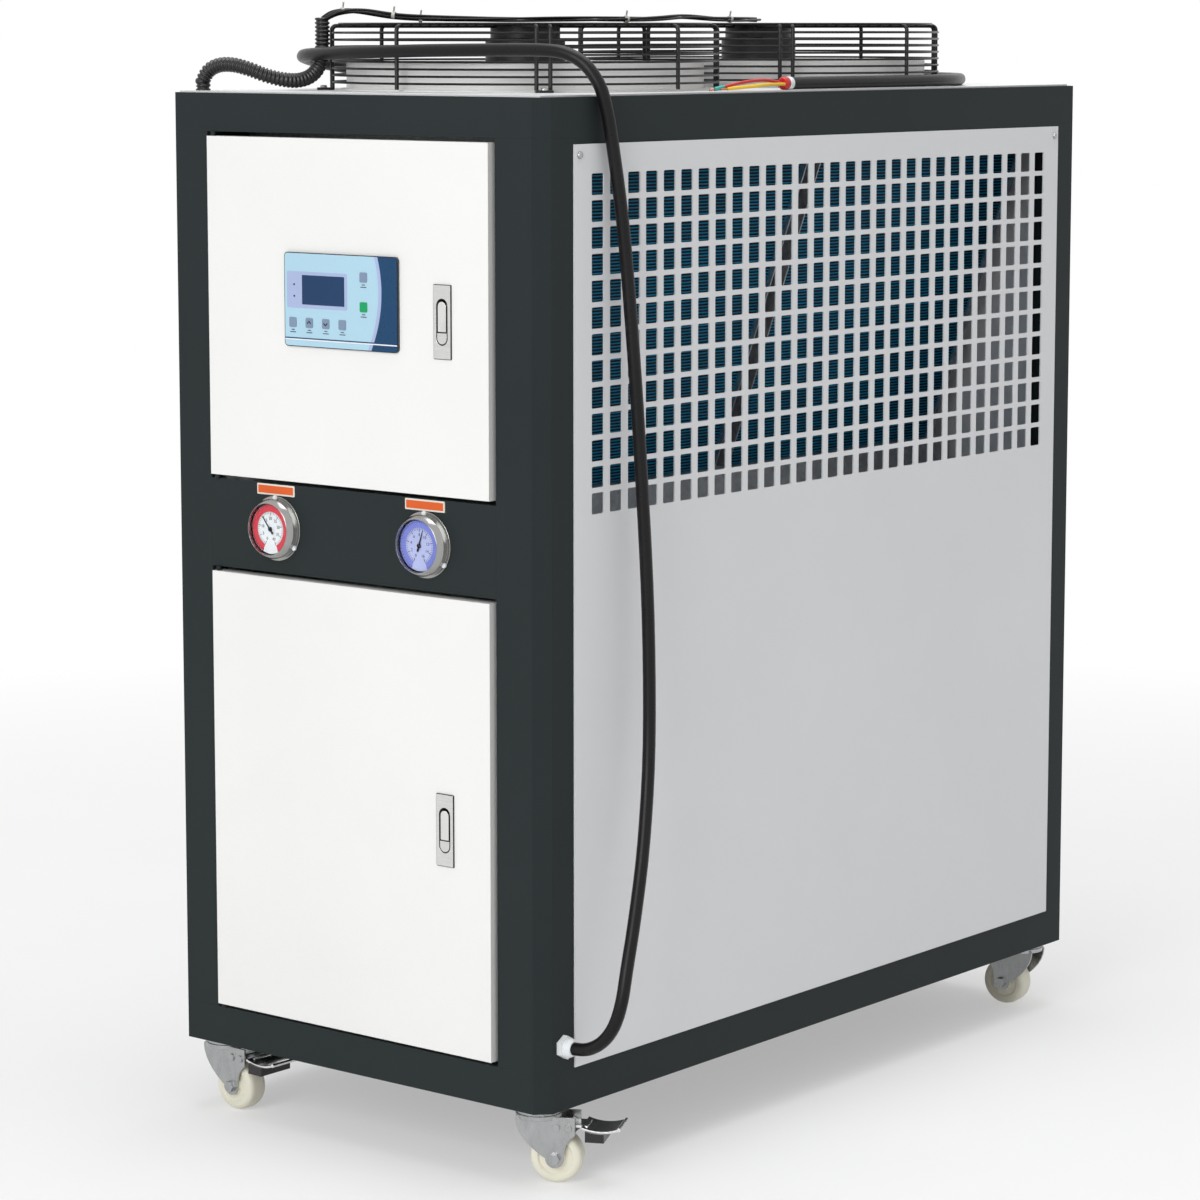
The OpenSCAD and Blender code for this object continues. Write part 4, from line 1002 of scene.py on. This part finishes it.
# Screen and keys: sizes, and places from the panel's left edge and its middle height
BLOCK_W, BLOCK_H, BLOCK_ROUND, BLOCK_X, BLOCK_Z = 0.094, 0.042, 0.002, 0.0515, 0.0115
SCREEN_W, SCREEN_H, SCREEN_ROUND, SCREEN_X, SCREEN_Z = 0.066, 0.034, 0.0008, 0.0615, 0.0117
DOT_R, DOT_X, DOT_HEIGHTS = 0.0012, 0.016, (0.0175, 0.004)
KEY_W, KEY_ROUND, KEY_BEVEL = 0.0115, 0.0018, 0.0002
ROW_X, ROW_Z, ROW_PITCH, ROW_KEYS = 0.0135, -0.0265, 0.0258, 4
SIDE_KEY_X, UPPER_KEY_Z, LOWER_KEY_Z = 0.124, 0.0295, -0.0045
ARROW_W, ARROW_L, ARROW_ROUND, ARROW_TIP, ARROW_BACK = 0.0012, 0.0046, 0.0002, 0.002, 0.0019

# Captions under a key: drop and length of each line
CAPTIONS, CAPTION_H, LINE_ROUND = ((0.0085, 0.005), (0.0112, 0.009)), 0.0009, 0.0003

# Curve of the dark zone at the right, as shares of the panel's width and height
ZONE_X, ZONE_BOW, ZONE_PEAK, ZONE_STRIP, ZONE_STEPS = 0.362, 0.24, 0.62, 0.028, 16

# Inks, in the order of the membrane's materials
FILM, NAVY, LILAC, SCREEN, KEY_GREY, KEY_GREEN, BLACK, WHITE = range(8)

# Lines along the foot: height over the panel's foot, and ink
FOOT_LINES, FOOT_LINE_H, FOOT_LINE_LAYERS = ((0.0098, NAVY), (0.0084, WHITE)), 0.0014, 1.6


def stamp(bm, place, shape, layers, ink, sunk=0.0, bevel=0.0):
    """Prints a shape on the film, so many layers thick."""
    slab(bm, place, shape, FILM_T - sunk, FILM_T + layers * INK_T, bevel, ink)


def zone_curve(w, h, offset):
    """Bowed line from the film's foot to its top."""
    points = []
    for j in range(ZONE_STEPS + 1):
        t = j / ZONE_STEPS
        x = w * (ZONE_X + offset - ZONE_BOW * (t - ZONE_PEAK) ** 2)
        points.append((x, FILM_MARGIN - h / 2 + (h - 2 * FILM_MARGIN) * t))
    return points


def print_zones(bm, place, film, w, h):
    """Curved dark zone at the film's right with its lilac strip."""
    corner = len(film) // 4
    right_side = film[-corner:] + film[:corner]
    curve = zone_curve(w, h, 0)
    stamp(bm, place, right_side + curve[::-1], layers=1, ink=NAVY, sunk=INK_SUNK)
    strip = curve + zone_curve(w, h, -ZONE_STRIP)[::-1]
    stamp(bm, place, strip, layers=1, ink=LILAC, sunk=INK_SUNK)


def print_keys(bm, place, left):
    """Keys with their captions, and arrows on the two middle keys of the row."""
    row = [(left + ROW_X + ROW_PITCH * i, ROW_Z, KEY_GREY) for i in range(ROW_KEYS)]
    beside = [(left + SIDE_KEY_X, UPPER_KEY_Z, KEY_GREY), (left + SIDE_KEY_X, LOWER_KEY_Z, KEY_GREEN)]
    for x, z, ink in row + beside:
        key = rounded(KEY_W, KEY_W, KEY_ROUND, centre=(x, z))
        stamp(bm, place, key, layers=3, ink=ink, bevel=KEY_BEVEL)
        for drop, long in CAPTIONS:
            caption = rounded(long, CAPTION_H, LINE_ROUND, steps=1, centre=(x, z - drop))
            stamp(bm, place, caption, layers=1, ink=BLACK)
    for (x, z, _), way in ((row[1], 1), (row[2], -1)):
        bar = rounded(ARROW_W, ARROW_L, ARROW_ROUND, steps=1, centre=(0, -way * ARROW_BACK))
        for slant in (-45, 45):
            tip = place @ Matrix.Translation((x, z + way * ARROW_TIP, 0)) @ turned(slant)
            slab(bm, tip, bar, FILM_T + 2 * INK_T, FILM_T + 4 * INK_T, material=BLACK)


def make_membrane():
    lo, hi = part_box("control_panel")
    w, h = hi.x - lo.x, hi.z - lo.z
    place = on_face("front", ((lo.x + hi.x) / 2, lo.y, (lo.z + hi.z) / 2))
    left, foot = -w / 2, -h / 2
    film = rounded(w - 2 * FILM_MARGIN, h - 2 * FILM_MARGIN, FILM_ROUND)
    bm = bmesh.new()
    slab(bm, place, rounded(w, h, PANEL_ROUND), -FILM_T, FILM_T - INK_SUNK, material=BLACK)
    slab(bm, place, film, -FILM_T, FILM_T, material=FILM)
    print_zones(bm, place, film, w, h)
    block = rounded(BLOCK_W, BLOCK_H, BLOCK_ROUND, centre=(left + BLOCK_X, BLOCK_Z))
    stamp(bm, place, block, layers=1, ink=LILAC, sunk=INK_SUNK)
    screen = rounded(SCREEN_W, SCREEN_H, SCREEN_ROUND, centre=(left + SCREEN_X, SCREEN_Z))
    stamp(bm, place, screen, layers=2, ink=SCREEN)
    for z in DOT_HEIGHTS:
        dot = disc(DOT_R, count=12, centre=(left + DOT_X, z))
        stamp(bm, place, dot, layers=2, ink=BLACK)
    print_keys(bm, place, left)
    for rise, ink in FOOT_LINES:
        line = rounded(w - 2 * FILM_MARGIN, FOOT_LINE_H, LINE_ROUND, steps=1, centre=(0, foot + rise))
        stamp(bm, place, line, FOOT_LINE_LAYERS, ink=ink)
    piece(
        "control_membrane_print", bm, "upper_door", "control_membrane", MATERIALS["control_membrane"],
        EXTRA["navy_print"], EXTRA["lilac_print"], EXTRA["screen_glass"], EXTRA["key_grey"],
        EXTRA["key_green"], EXTRA["ink"], EXTRA["white_print"],
    )


make_membrane()


# Screws of the side panels and the rear panel
SCREW_DROP, SCREW_MARGIN, SCREW_R, SCREW_H = 0.012, 0.009, 0.0042, 0.0026


def make_panel_screws():
    bm = bmesh.new()
    for face, x in (("right", PANEL_HI.x), ("left", -PANEL_HI.x)):
        for y in (PANEL_LO.y + SCREW_MARGIN, PANEL_HI.y - SCREW_MARGIN):
            screw(bm, on_face(face, (x, y, PANEL_HI.z - SCREW_DROP)), SCREW_R, SCREW_H)
    lo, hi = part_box("rear_panel")
    for x in (lo.x + SCREW_MARGIN, hi.x - SCREW_MARGIN):
        for z in (lo.z + SCREW_DROP, hi.z - SCREW_DROP):
            screw(bm, on_face("rear", (x, hi.y, z)), SCREW_R, SCREW_H)
    piece("panel_screws", bm, "root", "polished_steel", MATERIALS["zinc_caster"])


make_panel_screws()


# Studio: pale floor that turns white far off, plain soft light
FLOOR_SIZE, WORLD_LIGHT, AIM = 40.0, 0.42, Vector((0, 0, 0.7))

# Floor's fade to white: distances in metres, and its share at the near one
FADE_NEAR, FADE_FAR, FADE_RANGE, NEAR_WHITE = 1.0, 3.2, 10.0, 0.4

# Lamps: place, size of the square and power
LAMPS = {
    "front_softbox": ((0.8, -4.4, 2.3), 2.6, 90),
    "side_softbox": ((4.4, -0.6, 2.4), 2.4, 3),
    "top_softbox": ((0.2, 0.2, 4.2), 3.0, 85),
}


def seen_rays(tree):
    """1 for rays from the camera, off a gloss or through glass."""
    path = tree.nodes.new("ShaderNodeLightPath")
    seen = path.outputs["Is Camera Ray"]
    for name in ("Is Glossy Ray", "Is Transmission Ray"):
        either = tree.nodes.new("ShaderNodeMath")
        either.operation = "MAXIMUM"
        tree.links.new(seen, either.inputs[0])
        tree.links.new(path.outputs[name], either.inputs[1])
        seen = either.outputs[0]
    return seen


def mix_surface(tree, factor, first, second, output):
    """Mixes two shaders into an output node."""
    mixed = tree.nodes.new("ShaderNodeMixShader")
    for socket, source in zip(mixed.inputs, (factor, first.outputs[0], second.outputs[0])):
        tree.links.new(source, socket)
    tree.links.new(mixed.outputs[0], tree.nodes[output].inputs["Surface"])


def floor_material():
    s = Shader("floor", roughness=0.9)
    s.link("Base Color", s.vary(s.noise(scale=3.0), 0.92, 0.95))
    distance = s.tree.nodes.new("ShaderNodeVectorMath")
    distance.operation = "LENGTH"
    s.plug(distance.inputs[0], s.coords)
    along = s.calculate("MULTIPLY", distance.outputs["Value"], 1 / FADE_RANGE)
    far = s.ramp(along, (FADE_NEAR / FADE_RANGE, NEAR_WHITE), (FADE_FAR / FADE_RANGE, 1.0))
    share = s.calculate("MULTIPLY", far, seen_rays(s.tree))
    mix_surface(s.tree, share, s.bsdf, s.tree.nodes.new("ShaderNodeEmission"), "Material Output")
    return s.material


def make_floor():
    bm = bmesh.new()
    bmesh.ops.create_grid(bm, x_segments=8, y_segments=8, size=FLOOR_SIZE)
    mesh = bpy.data.meshes.new("studio_floor")
    bm.to_mesh(mesh)
    bm.free()
    mesh.materials.append(floor_material())
    add_object("studio_floor", mesh)


def make_world():
    """White where it is seen, dimmer where it lights."""
    world = bpy.data.worlds.new("studio")
    world.use_nodes = True
    tree = world.node_tree
    light = tree.nodes["Background"]
    light.inputs["Strength"].default_value = WORLD_LIGHT
    white = tree.nodes.new("ShaderNodeBackground")
    for background in (light, white):
        background.inputs["Color"].default_value = (1, 1, 1, 1)
    mix_surface(tree, seen_rays(tree), light, white, "World Output")
    bpy.context.scene.world = world


def softbox(name, place, size, power):
    data = bpy.data.lights.new(name, "AREA")
    data.shape = "SQUARE"
    data.size = size
    data.energy = power
    lamp = add_object(name, data)
    lamp.location = place
    lamp.rotation_euler = (AIM - Vector(place)).to_track_quat("-Z", "Y").to_euler()


make_floor()
make_world()
for name, lamp in LAMPS.items():
    softbox(name, *lamp)

bpy.context.scene.view_settings.view_transform = "Standard"
